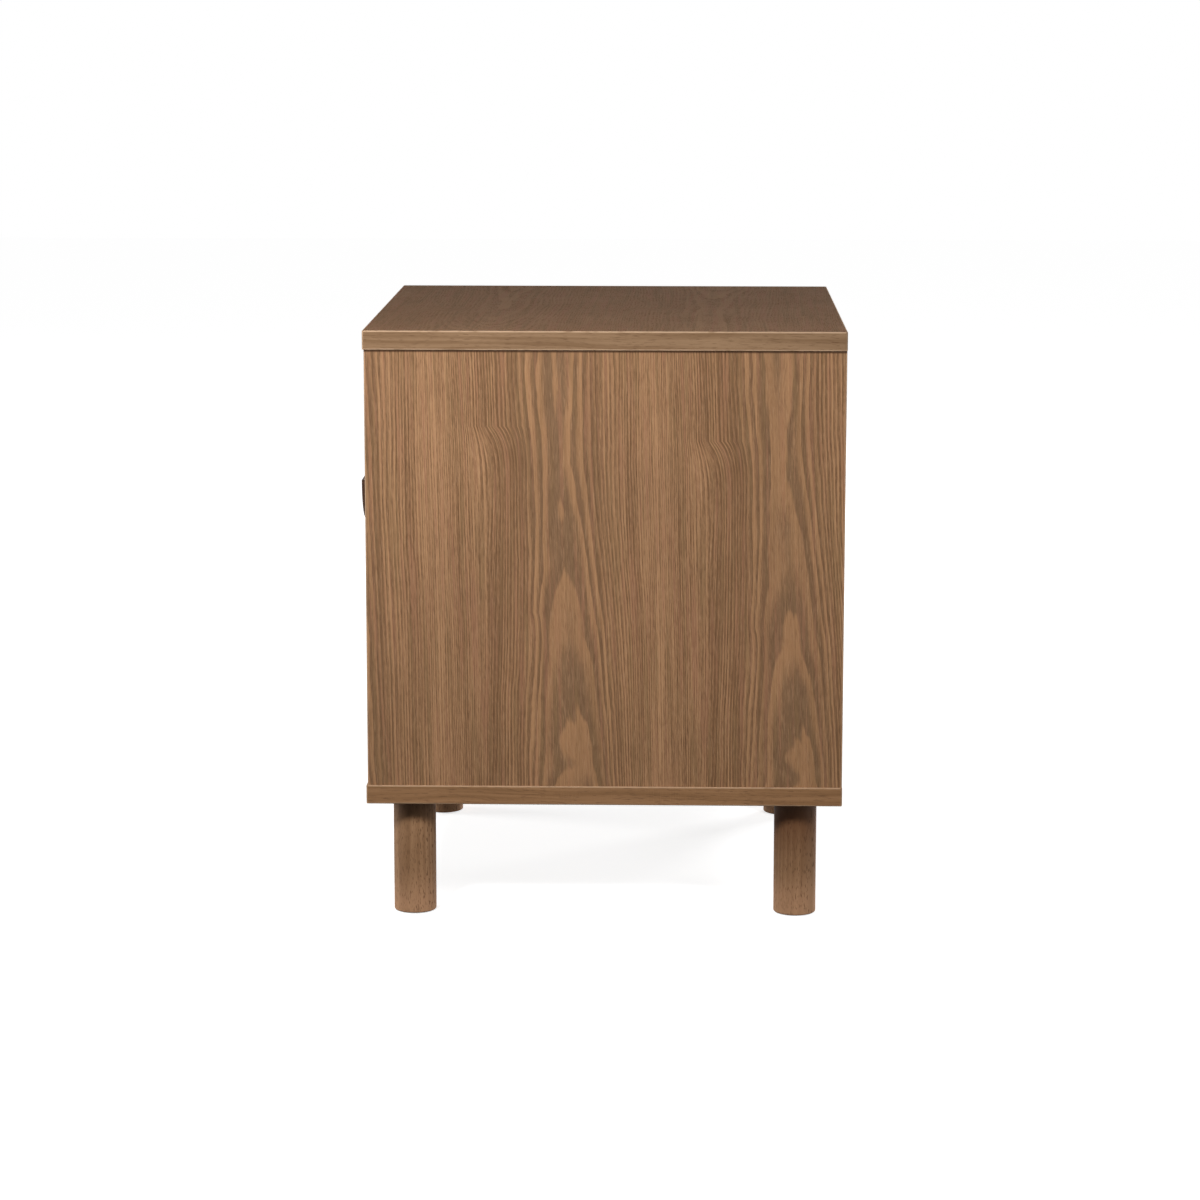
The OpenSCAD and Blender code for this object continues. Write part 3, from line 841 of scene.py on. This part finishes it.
        colour = g.tint(g.span(hue, 0.5, 0.32, 0.0, 0.65), colour, self.olive)
        smooth = g.math("MULTIPLY", wide * late, 0.85 * board.figure, clamp=True)
        colour = g.tint(smooth, colour, self.glow)
        open_wood = 1.0 - late * 0.8
        patch = g.mottle(g.join(point[0], point[1], point[2]), 55.0)
        there = {"across": across, "along": along}
        open_share = open_wood * (patch * 1.5 - 0.05)
        open_pores = pores(g, **there, width=0.00038, length=0.012, share=open_share, seed=seed)["mask"]
        own_seed = board.seed + 47.0
        flecks = pores(g, **there, width=0.0005, length=0.016, share=0.55, seed=own_seed)["mask"]
        colour = g.tint(flecks * (0.3 * board.figure), colour, self.fleck)
        colour = g.tint(open_pores * 0.5, colour, self.pore)
        return colour, open_pores, level

    def strip(
        self, g: Graph, board: Board, point: Sequence[Number], end: Number
    ) -> tuple[Socket, Number]:
        """Draws the strip of straight veneer on the edges.

        Args:
            g: The material's graph.
            board: How the board is cut.
            point: The three coordinates.
            end: 1 on the edges that the faces' grain runs into.

        Returns:
            The colour and the mask of the pores.
        """
        run = g.blend(end, point[board.grain.value], point[board.cross.value])
        run = run + board.slip
        thick = point[board.face.value]
        bend = g.join(run * 9.0, thick * 30.0, board.seed)
        thick = g.noise(bend, detail=1.0) * 0.01 + thick
        broad = g.lines(thick, run, 0.0035, 0.16, board.seed)
        fine = g.lines(thick, run, 0.0008, 0.05, board.seed + 9.0)
        fine = (fine - 0.5) * 0.7
        level = g.math("ADD", g.span(broad, 0.25, 0.75), fine, clamp=True)
        colour = g.tint(level, *board.strip)
        seed = board.seed + 5.0
        there = {"across": thick, "along": run}
        open_pores = pores(g, **there, width=0.0005, length=0.008, share=0.45, seed=seed)["mask"]
        return g.tint(open_pores * 0.5, colour, self.pore), open_pores


@dataclass(frozen=True)
class SolidWoodFinish(Finish):
    """Solid wood with straight grain and short pores, stained or bare.

    Attributes:
        name: The material's name.
        dark: Its darker tone.
        light: Its lighter tone.
        pore: The tone of its pores.
        grain: The axis that the grain follows.
        share: How many pores there are, from 0 to 1.
        length: Length of a pore, in metres.
        roughness: Roughness between the pores.
        specular: How strongly the lacquer reflects.
        worn: How high over the floor the legs are painted lighter, as painted light from the floor, in
            metres.
        deep: The tone high on the back legs, where it is deepest, partly a deeper stain and partly painted
            shade under the panel.
        under: The painted shade right under the panel, on every leg.
        faded: The lighter tone near the floor, painted light thrown up from the floor.
        top: Height of that panel over the floor, where deep and the painted shade of under are strongest.
        rise: Height from which deep comes in.
        band: How far down the painted shade of under reaches.
        half: How far behind the middle deep is full, and how far in front it is gone.
            These tones and heights count only where worn is above 0.
        rings: How strongly its year rings show.
        drift: How far the rings wander, in metres.
        heart: How far off the log's heart is along the two axes across the grain.
        ring: Width of a ring, in metres.
        ramp: Tone through one ring, as pairs of place and level.
    """

    name: str
    dark: Colour
    light: Colour
    pore: Colour
    grain: Axis
    share: float = 0.5
    length: float = 0.005
    roughness: float = 0.46
    specular: float = 0.4
    worn: float = 0.0
    deep: Colour = shade(96, 62, 38)
    under: Colour = shade(50, 34, 22)
    faded: Colour = shade(204, 156, 120)
    top: float = 0.1
    rise: float = 0.022
    band: float = 0.02
    half: float = 0.1
    rings: float = 0.45
    drift: float = 0.010
    heart: tuple[float, float] = (0.021, 0.034)
    ring: float = 0.0041
    ramp: tuple[tuple[float, float], ...] = ((0.0, 0.3), (0.15, 0.0), (0.7, 0.8), (0.9, 1.0), (1.0, 0.3))

    def build(self) -> bpy.types.Material:
        """Builds the material.

        Returns:
            The material.
        """
        material, g, shader, where = self.start(self.name)
        point = g.split(where)
        sides = [axis for axis in Axis if axis is not self.grain]
        along = point[self.grain.value]
        first, second = (point[axis.value] for axis in sides)
        slow = ((first, 14.0), (second, 14.0), (along, 5.0))
        bend = [part * scale for part, scale in slow]
        aside = first + self.heart[0]
        behind = second + self.heart[1]
        heart = aside * aside + behind * behind
        heart = g.noise(g.join(*bend)) * self.drift + g.math("SQRT", heart)
        ring = g.curve(g.math("FRACT", heart / self.ring), self.ramp)
        fine = g.lines(heart, along, 0.0009, 0.045, second * 250.0)
        patch = g.mottle(where, 24.0)
        level = ring * self.rings + fine * 0.75
        evened = patch * 0.7 - (0.325 + self.rings / 2)
        level = g.math("ADD", level, evened, clamp=True)
        colour = g.tint(level, self.dark, self.light)
        if self.worn:
            # Painted light: lighter toward the floor, standing in for light thrown up from the floor.
            foot = g.span(patch * 0.03 + point[2], 0.015, self.worn + 0.015, 0.5, 0.0)
            colour = g.tint(foot, colour, self.faded)
            # Partly a deeper stain and partly painted shade: darker high on the back legs, under the
            # panel.
            back = g.span(point[1], -self.half, self.half)
            high = g.span(point[2], self.rise, self.top) * back
            colour = g.tint(high, colour, self.deep)
            # Painted shade: every leg darker right under the panel.
            close = g.span(point[2], self.top - self.band, self.top, 0.0, 0.7)
            colour = g.tint(close, colour, self.under)
        open_pores = pores(
            g,
            across=first + second * 1.37,
            along=along,
            width=0.0008,
            length=self.length,
            share=self.share,
            seed=second * 900.0,
        )["mask"]
        colour = g.tint(open_pores * 0.6, colour, self.pore)
        g.feed(shader.inputs["Base Color"], colour)
        rough = g.blend(open_pores, self.roughness, self.roughness + 0.15)
        g.feed(shader.inputs["Roughness"], patch * 0.06 + rough)
        shader.inputs["Specular IOR Level"].default_value = self.specular
        self.bump(g, shader, fine * 0.3 - open_pores, 0.00015, 0.5)
        return material


@dataclass(frozen=True)
class MetalFinish(Finish):
    """Rolled or plated metal, with draw marks along one axis.

    Attributes:
        name: The material's name.
        dark: The tone of its dull patches.
        light: The tone of its clean patches.
        roughness: Roughness of the clean patches.
        marks: How strongly the marks show in the roughness.
        grain: The axis that the marks follow.
    """

    name: str
    dark: Colour
    light: Colour
    roughness: float
    marks: float
    grain: Axis = Axis.Y

    def build(self) -> bpy.types.Material:
        """Builds the material.

        Returns:
            The material.
        """
        material, g, shader, where = self.start(self.name)
        point = g.split(where)
        sides = [axis for axis in Axis if axis is not self.grain]
        first, second = (point[axis.value] for axis in sides)
        across = first + second * 1.7
        lines = g.lines(across, point[self.grain.value], 0.0005, 0.03, 2.0)
        patch = g.mottle(where, 90.0)
        level = lines * 0.5 + patch * 0.5
        g.feed(shader.inputs["Base Color"], g.tint(g.span(level, 0.35, 0.65), self.dark, self.light))
        shader.inputs["Metallic"].default_value = 1.0
        smooth = self.roughness - 0.3 * self.marks
        g.feed(shader.inputs["Roughness"], lines * self.marks + smooth)
        self.bump(g, shader, lines, 0.00003, 0.3)
        return material


@dataclass(frozen=True)
class MouldedFinish(Finish):
    """Matt moulded plastic with the fine grain of its mould.

    Attributes:
        name: The material's name.
        dark: The tone of the hollows of the grain.
        light: The tone of its tops.
    """

    name: str = "brown_plastic"
    dark: Colour = shade(98, 72, 52)
    light: Colour = shade(124, 94, 69)

    def build(self) -> bpy.types.Material:
        """Builds the material.

        Returns:
            The material.
        """
        material, g, shader, where = self.start(self.name)
        grain = g.noise(where, 2600.0, 2.0)
        patch = g.mottle(where, 60.0)
        level = grain * 0.6 + patch * 0.4
        g.feed(shader.inputs["Base Color"], g.tint(g.span(level, 0.35, 0.65), self.dark, self.light))
        g.feed(shader.inputs["Roughness"], grain * 0.2 + 0.45)
        self.bump(g, shader, grain, 0.00004, 0.4)
        return material


@dataclass(frozen=True)
class FeltFinish(Finish):
    """Pressed felt of short crossed fibres.

    Attributes:
        name: The material's name.
        dark: The tone between the fibres.
        light: The tone of the fibres.
    """

    name: str = "felt"
    dark: Colour = shade(38, 34, 31)
    light: Colour = shade(84, 76, 69)

    def build(self) -> bpy.types.Material:
        """Builds the material.

        Returns:
            The material.
        """
        material, g, shader, where = self.start(self.name)
        point = g.split(where)
        turn = g.noise(where, 300.0, 1.0)
        turned = turn * 0.012 + point[0]
        one = g.lines(turned, point[1], 0.0002, 0.003, 1.0)
        other = g.lines(point[1], turned, 0.0002, 0.003, 8.0)
        fibres = g.math("MAXIMUM", one, other)
        g.feed(shader.inputs["Base Color"], g.tint(g.span(fibres, 0.4, 0.75), self.dark, self.light))
        g.feed(shader.inputs["Roughness"], fibres * 0.1 + 0.88)
        shader.inputs["Specular IOR Level"].default_value = 0.2
        self.bump(g, shader, fibres, 0.0004, 0.8)
        return material


# Modelling by hand


class Workbench:
    """Operators of the modelling window, each with its own clean selection."""

    @staticmethod
    def disc(name: str, radius: float, height: float, centre: Vector, sides: int) -> bpy.types.Object:
        """Adds a round blank.

        Args:
            name: The piece's name.
            radius: Its radius.
            height: Its height.
            centre: Its middle.
            sides: How many sides it has.

        Returns:
            The new object.
        """
        bpy.ops.object.select_all(action="DESELECT")
        bpy.ops.mesh.primitive_cylinder_add(vertices=sides, radius=radius, depth=height, location=centre)
        piece = bpy.context.object
        piece.name = name
        piece.data.name = name
        return piece

    @staticmethod
    def pick(piece: bpy.types.Object, keep: Callable[[bmesh.types.BMFace], bool]) -> None:
        """Selects faces of the piece that is being edited.

        Args:
            piece: The piece, in edit mode.
            keep: Says of a face whether it is wanted.
        """
        bpy.ops.mesh.select_mode(type="FACE")
        bpy.ops.mesh.select_all(action="DESELECT")
        mesh = bmesh.from_edit_mesh(piece.data)
        for face in mesh.faces:
            face.select_set(keep(face))
        mesh.select_flush_mode()
        bmesh.update_edit_mesh(piece.data)


# Sub-assemblies


class SubAssembly:
    """A group of CAD nodes and modelled pieces that are dressed together."""

    nodes: dict[str, bpy.types.Object]

    def paint(self, names: Iterable[str], material: bpy.types.Material) -> None:
        """Gives one material to several nodes.

        Args:
            names: The nodes.
            material: The material.
        """
        for name in names:
            self.coat(self.nodes[name], material)
            LOG.info("dressed %s in %s", name, material.name)

    @staticmethod
    def coat(piece: bpy.types.Object, material: bpy.types.Material) -> None:
        """Makes a material the only one of a piece.

        Args:
            piece: The piece.
            material: The material.
        """
        if piece.material_slots:
            for slot in piece.material_slots:
                slot.material = material
        else:
            piece.data.materials.append(material)


@dataclass
class Boards(SubAssembly):
    """The veneered boards: carcass, shelf, back and drawer front.

    Attributes:
        nodes: The CAD nodes by name.
        finish: The veneer.
        cuts: How each board is cut.
    """

    nodes: dict[str, bpy.types.Object]
    finish: VeneerFinish = VeneerFinish()
    cuts: tuple[Board, ...] = (
        Board("side_panel_right", Axis.X, Axis.Z, centre=-0.0278, crest=0.331, seed=1.0, seam=True),
        Board("side_panel_left", Axis.X, Axis.Z, centre=0.031, crest=0.315, seed=4.6, seam=True),
        # The top's faces are darker, partly stain and partly painted shade, and its edges carry a stronger
        # painted highlight.
        Board(
            "top_panel",
            Axis.Z,
            Axis.X,
            centre=0.098,
            crest=-0.06,
            seed=7.2,
            figure=0.15,
            tone=0.22,
            sheen=0.03,
            rub=0.75,
            strip=(shade(124, 96, 70), shade(148, 119, 91)),
            slip=0.71,
        ),
        Board("bottom_panel", Axis.Z, Axis.X, centre=0.02, crest=0.05, seed=12.4),
        Board("niche_shelf", Axis.Z, Axis.X, centre=-0.05, crest=0.10, seed=15.1),
        Board("back_panel", Axis.Y, Axis.Z, centre=-0.07, crest=0.28, seed=19.7),
        Board("drawer_front", Axis.Y, Axis.X, centre=0.262, crest=-0.05, seed=23.3),
    )

    def build(self) -> None:
        """Dresses every board in veneer of its own cut."""
        for board in self.cuts:
            low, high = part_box(board.node)
            self.coat(self.nodes[board.node], self.finish.dress(board, low, high))
            LOG.info("veneered %s, grain along %s", board.node, board.grain.name)


@dataclass
class Legs(SubAssembly):
    """The four turned legs with the felt pads under them.

    Attributes:
        nodes: The CAD nodes by name.
        pad_radius: Radius of a pad.
        pad_height: Its height.
        crown: Radius of its rolled lower edge.
        fuzz: How deep the hollows between its fibres are.
        lump: Size of those hollows.
        wood: The finish of the legs.
        felt: The finish of the pads.
    """

    nodes: dict[str, bpy.types.Object]
    pad_radius: float = 0.014
    pad_height: float = 0.003
    crown: float = 0.0009
    fuzz: float = 0.00012
    lump: float = 0.0011
    wood: SolidWoodFinish = SolidWoodFinish(
        name="leg_wood",
        dark=shade(124, 91, 63),
        light=shade(167, 129, 95),
        pore=shade(78, 51, 33),
        grain=Axis.Z,
        length=0.0045,
        roughness=0.6,
        specular=0.15,
        # Up to this height the legs are painted lighter, as painted light from the floor.
        worn=0.045,
    )
    felt: FeltFinish = FeltFinish()

    def build(self) -> None:
        """Dresses the legs and models their pads."""
        places = [f"{end}_{side}" for end in ("front", "back") for side in ("left", "right")]
        self.paint([f"leg_{place}" for place in places], self.wood.build())
        model = self.pad(self.felt.build())
        for place in places:
            low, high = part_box(f"leg_{place}")
            self.place(model, f"pad_{place}", (low + high) / 2)
        bpy.data.objects.remove(model)

    def pad(self, cloth: bpy.types.Material) -> bpy.types.Object:
        """Models one pad standing on the origin.

        Args:
            cloth: Its material.

        Returns:
            The pad that the four are copied from.
        """
        middle = Vector((0.0, 0.0, self.pad_height / 2))
        pad = Workbench.disc("pad_blank", self.pad_radius, self.pad_height, middle, 64)
        bpy.ops.object.mode_set(mode="EDIT")
        Workbench.pick(pad, lambda face: abs(face.normal.z) > 0.5)
        for step in (self.crown, self.pad_radius * 0.28, self.pad_radius * 0.3):
            bpy.ops.mesh.inset(thickness=step, depth=0.0)
        bpy.ops.mesh.select_all(action="SELECT")
        bpy.ops.mesh.normals_make_consistent(inside=False)
        bpy.ops.object.mode_set(mode="OBJECT")
        soft = pad.modifiers.new("rolled_edge", "BEVEL")
        soft.width = self.crown * 0.8
        soft.segments = 3
        soft.limit_method = "ANGLE"
        close = pad.modifiers.new("close_mesh", "SUBSURF")
        close.subdivision_type = "SIMPLE"
        close.levels = close.render_levels = 2
        fuzz = pad.modifiers.new("fibres", "DISPLACE")
        fuzz.texture = bpy.data.textures.new("felt_lumps", "CLOUDS")
        fuzz.texture.noise_scale = self.lump
        fuzz.strength = self.fuzz
        fuzz.mid_level = 1.0
        for modifier in list(pad.modifiers):
            bpy.ops.object.modifier_apply(modifier=modifier.name)
        bpy.ops.object.shade_smooth_by_angle(angle=math.radians(40))
        self.coat(pad, cloth)
        return pad

    def place(self, model: bpy.types.Object, name: str, middle: Vector) -> None:
        """Puts a copy of the pad under one leg.

        Args:
            model: The pad on the origin.
            name: The copy's name.
            middle: The middle of the leg.
        """
        pad = model.copy()
        pad.data = model.data.copy()
        pad.name = pad.data.name = name
        bpy.context.scene.collection.objects.link(pad)
        pad.data.transform(Matrix.Translation(Vector((middle.x, middle.y, 0.0))))
        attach(pad, "carcass")
        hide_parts("foot_pads")
        LOG.info("modelled %s with %d faces", name, len(pad.data.polygons))


@dataclass
class DrawerBox(SubAssembly):
    """The box behind the drawer front, with its pull.

    Attributes:
        nodes: The CAD nodes by name.
        long_board: The finish of the boards whose grain runs front to back.
        cross_board: The finish of the boards whose grain runs across.
        pull_wood: The finish of the pull.
    """

    nodes: dict[str, bpy.types.Object]
    long_board: SolidWoodFinish = SolidWoodFinish(
        name="box_board_long",
        dark=shade(176, 146, 112),
        light=shade(203, 175, 141),
        pore=shade(140, 108, 78),
        grain=Axis.Y,
        share=0.3,
        length=0.006,
        roughness=0.55,
        specular=0.3,
        rings=0.3,
        drift=0.035,
    )
    cross_board: SolidWoodFinish = replace(long_board, name="box_board_cross", grain=Axis.X)
    pull_wood: SolidWoodFinish = SolidWoodFinish(
        name="pull_wood",
        dark=shade(56, 35, 23),
        light=shade(82, 54, 37),
        pore=shade(34, 21, 15),
        grain=Axis.X,
        share=0.45,
        roughness=0.5,
        specular=0.2,
    )

    def build(self) -> None:
        """Dresses the box and the pull."""
        self.paint(("drawer_side_left", "drawer_side_right"), self.long_board.build())
        self.paint(("drawer_box_front", "drawer_back", "drawer_bottom"), self.cross_board.build())
        self.paint(("drawer_pull",), self.pull_wood.build())


@dataclass
class Hardware(SubAssembly):
    """The runners with their balls and cages, and the fixings.

    Attributes:
        nodes: The CAD nodes by name.
        zinc: The finish of the runner members and the fixings.
        balls: The finish of the balls.
        brass: The finish of the ball cages and the threaded sleeves.
        dowels: The finish of the dowels.
        caps: The finish of the caps over the cams.
    """

    nodes: dict[str, bpy.types.Object]
    zinc: MetalFinish = MetalFinish(
        "zinc_steel", shade(160, 164, 170), shade(198, 201, 205), roughness=0.3, marks=0.22
    )
    balls: MetalFinish = MetalFinish(
        "ball_steel", shade(190, 190, 194), shade(214, 214, 218), roughness=0.1, marks=0.06
    )
    brass: MetalFinish = MetalFinish(
        "cage_metal", shade(160, 128, 76), shade(196, 164, 106), roughness=0.32, marks=0.2
    )
    dowels: SolidWoodFinish = SolidWoodFinish(
        name="dowel_wood",
        dark=shade(188, 153, 112),
        light=shade(214, 182, 142),
        pore=shade(150, 112, 76),
        grain=Axis.X,
        share=0.35,
        length=0.002,
        roughness=0.6,
        specular=0.3,
    )
    caps: MouldedFinish = MouldedFinish()

    def build(self) -> None:
        """Dresses every fixing by what it is made of."""
        sides = ("left", "right")
        self.paint(
            [f"runner_{member}_{side}" for member in ("cabinet", "middle", "drawer") for side in sides]
            + [
                "runner_cabinet_screws",
                "runner_drawer_screws",
                "drawer_front_screws",
                "pull_screws",
                "leg_hanger_bolts",
                "leg_tee_nuts",
                "cam_locks",
                "cam_bolts",
            ],
            self.zinc.build(),
        )
        rows = [f"{row}_{side}" for row in ("outer", "inner") for side in sides]
        self.paint([f"balls_{row}" for row in rows], self.balls.build())
        self.paint([f"ball_cage_{row}" for row in rows] + ["pull_inserts"], self.brass.build())
        self.paint(("carcass_dowels", "drawer_dowels"), self.dowels.build())
        self.paint(("cam_caps",), self.caps.build())


# Studio


@dataclass(frozen=True)
class Lamp:
    """A soft box.

    Attributes:
        name: Its name.
        place: Where it hangs.
        aim: The point that it faces.
        size: Width and height of its window.
        power: Its power in watts.
    """

    name: str
    place: tuple[float, float, float]
    aim: tuple[float, float, float]
    size: tuple[float, float]
    power: float

    def hang(self) -> None:
        """Adds the lamp."""
        data = bpy.data.lights.new(self.name, "AREA")
        data.shape = "RECTANGLE"
        data.size, data.size_y = self.size
        data.energy = self.power
        lamp = bpy.data.objects.new(self.name, data)
        lamp.location = self.place
        lamp.rotation_euler = (Vector(self.aim) - Vector(self.place)).to_track_quat("-Z", "Y").to_euler()
        lamp.visible_camera = False
        bpy.context.scene.collection.objects.link(lamp)


@dataclass(frozen=True)
class Studio:
    """The camera, the lamps, the floor and the white room around them.

    Attributes:
        film: Width of the camera's film, in millimetres.
        lens: Its focal length on that film.
        eye: Where the camera stands.
        turn: How far it is turned about the vertical, in degrees.
        tilt: How far it looks down, in degrees.
        roll: How far its picture is rolled, in degrees.
        ambient: Strength of the room's own light.
        floor_size: Length of the floor's sides.
        floor_paint: How pale the floor looks to the camera.
        floor_shade: How much of its light the floor gives back to the object.
        floor_glow: What the floor shows of the white room close to the object and far from it.
        floor_haze: How far off the first of these ends, and the second starts.
        lamps: The soft boxes.
    """

    film: float = 36.0
    lens: float = 106.86
    eye: tuple[float, float, float] = (3.145, 0.072, 0.780)
    turn: float = 1.303
    tilt: float = 9.79
    roll: float = 0.06
    ambient: float = 0.02
    floor_size: float = 16.0
    floor_paint: float = 0.95
    floor_shade: float = 0.05
    floor_glow: tuple[float, float] = (0.73, 0.97)
    floor_haze: tuple[float, float] = (0.35, 1.4)
    lamps: tuple[Lamp, ...] = (
        Lamp("key", (1.06, -0.42, 0.86), (0.22, 0.0, 0.32), (0.2, 0.2), 11.3),
        Lamp("fill", (1.6, 1.4, 1.3), (0.2, 0.1, 0.3), (0.5, 0.5), 15.0),
        Lamp("front", (-0.5, -2.6, 0.62), (0.0, 0.0, 0.28), (1.2, 0.7), 36.0),
        Lamp("rear", (-2.4, 1.9, 0.62), (0.0, 0.0, 0.28), (1.2, 0.7), 56.0),
        Lamp("low", (0.45, 1.9, 0.12), (0.19, 0.0, 0.06), (0.4, 0.2), 6.5),
    )

    def camera(self) -> None:
        """Adds the camera at the photograph's view."""
        turn, tilt, roll = (math.radians(angle) for angle in (self.turn, self.tilt, self.roll))
        ahead = Vector((-math.cos(turn), -math.sin(turn), 0.0))
        forward = math.cos(tilt) * ahead - math.sin(tilt) * Vector((0.0, 0.0, 1.0))
        right = Vector((-math.sin(turn), math.cos(turn), 0.0))
        up = right.cross(forward)
        rolled = math.cos(roll) * right + math.sin(roll) * up
        data = bpy.data.cameras.new("camera")
        data.sensor_width = self.film
        data.lens = self.lens
        camera = bpy.data.objects.new("camera", data)
        camera.matrix_world = Matrix.Translation(Vector(self.eye)) @ Matrix(
            (rolled, rolled.cross(forward), -forward)
        ).transposed().to_4x4()
        bpy.context.scene.collection.objects.link(camera)
        bpy.context.scene.camera = camera

    @staticmethod
    def seen(graph: Graph) -> Number:
        """Tells what the camera sees from what lights the object.

        Args:
            graph: The graph that asks.

        Returns:
            1 for what the camera sees straight or in a reflection, and 0 for light.
        """
        path = graph.add("ShaderNodeLightPath")
        shiny = graph.math("MAXIMUM", path.outputs["Is Glossy Ray"], path.outputs["Is Transmission Ray"])
        return graph.math("MAXIMUM", path.outputs["Is Camera Ray"], shiny)

    def room(self) -> None:
        """Sets up the white room: pure white to look at, and a soft even light."""
        world = bpy.data.worlds.new("white_room")
        bpy.context.scene.world = world
        graph = Graph.fresh(world)
        strength = graph.blend(self.seen(graph), self.ambient, 1.0)
        background = graph.add("ShaderNodeBackground", (1.0, 1.0, 1.0), strength)
        graph.add("ShaderNodeOutputWorld", background.outputs[0])

    def floor(self) -> None:
        """Adds the pale floor, which keeps the object's shadow."""
        bpy.ops.object.select_all(action="DESELECT")
        bpy.ops.mesh.primitive_plane_add(size=self.floor_size, location=(0.0, 0.0, 0.0))
        floor = bpy.context.object
        floor.name = "floor"
        material = bpy.data.materials.new("pale_floor")
        graph = Graph.fresh(material)
        seen = self.seen(graph)
        paint = graph.add("ShaderNodeBsdfDiffuse", graph.blend(seen, self.floor_shade, self.floor_paint))
        place = graph.add("ShaderNodeTexCoord").outputs["Object"]
        away = graph.add("ShaderNodeVectorMath", place, operation="LENGTH").outputs["Value"]
        haze = graph.span(away, *self.floor_haze, *self.floor_glow)
        glow = graph.add("ShaderNodeEmission", (1.0, 1.0, 1.0), seen * haze)
        both = graph.add("ShaderNodeAddShader", paint.outputs[0], glow.outputs[0])
        graph.add("ShaderNodeOutputMaterial", both.outputs[0])
        floor.data.materials.append(material)

    def build(self) -> None:
        """Sets up the whole studio."""
        bpy.context.scene.view_settings.view_transform = "Standard"
        self.camera()
        self.room()
        self.floor()
        for lamp in self.lamps:
            lamp.hang()
        LOG.info("studio with %d lamps", len(self.lamps))


def main() -> None:
    """Loads the frame, dresses it, and sets up the studio."""
    logging.basicConfig(level=logging.INFO, format="%(name)s: %(message)s")
    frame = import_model()
    nodes = frame["nodes"]
    Studio().build()
    for part in (Boards(nodes), Legs(nodes), DrawerBox(nodes), Hardware(nodes)):
        part.build()


if __name__ == "__main__":
    main()
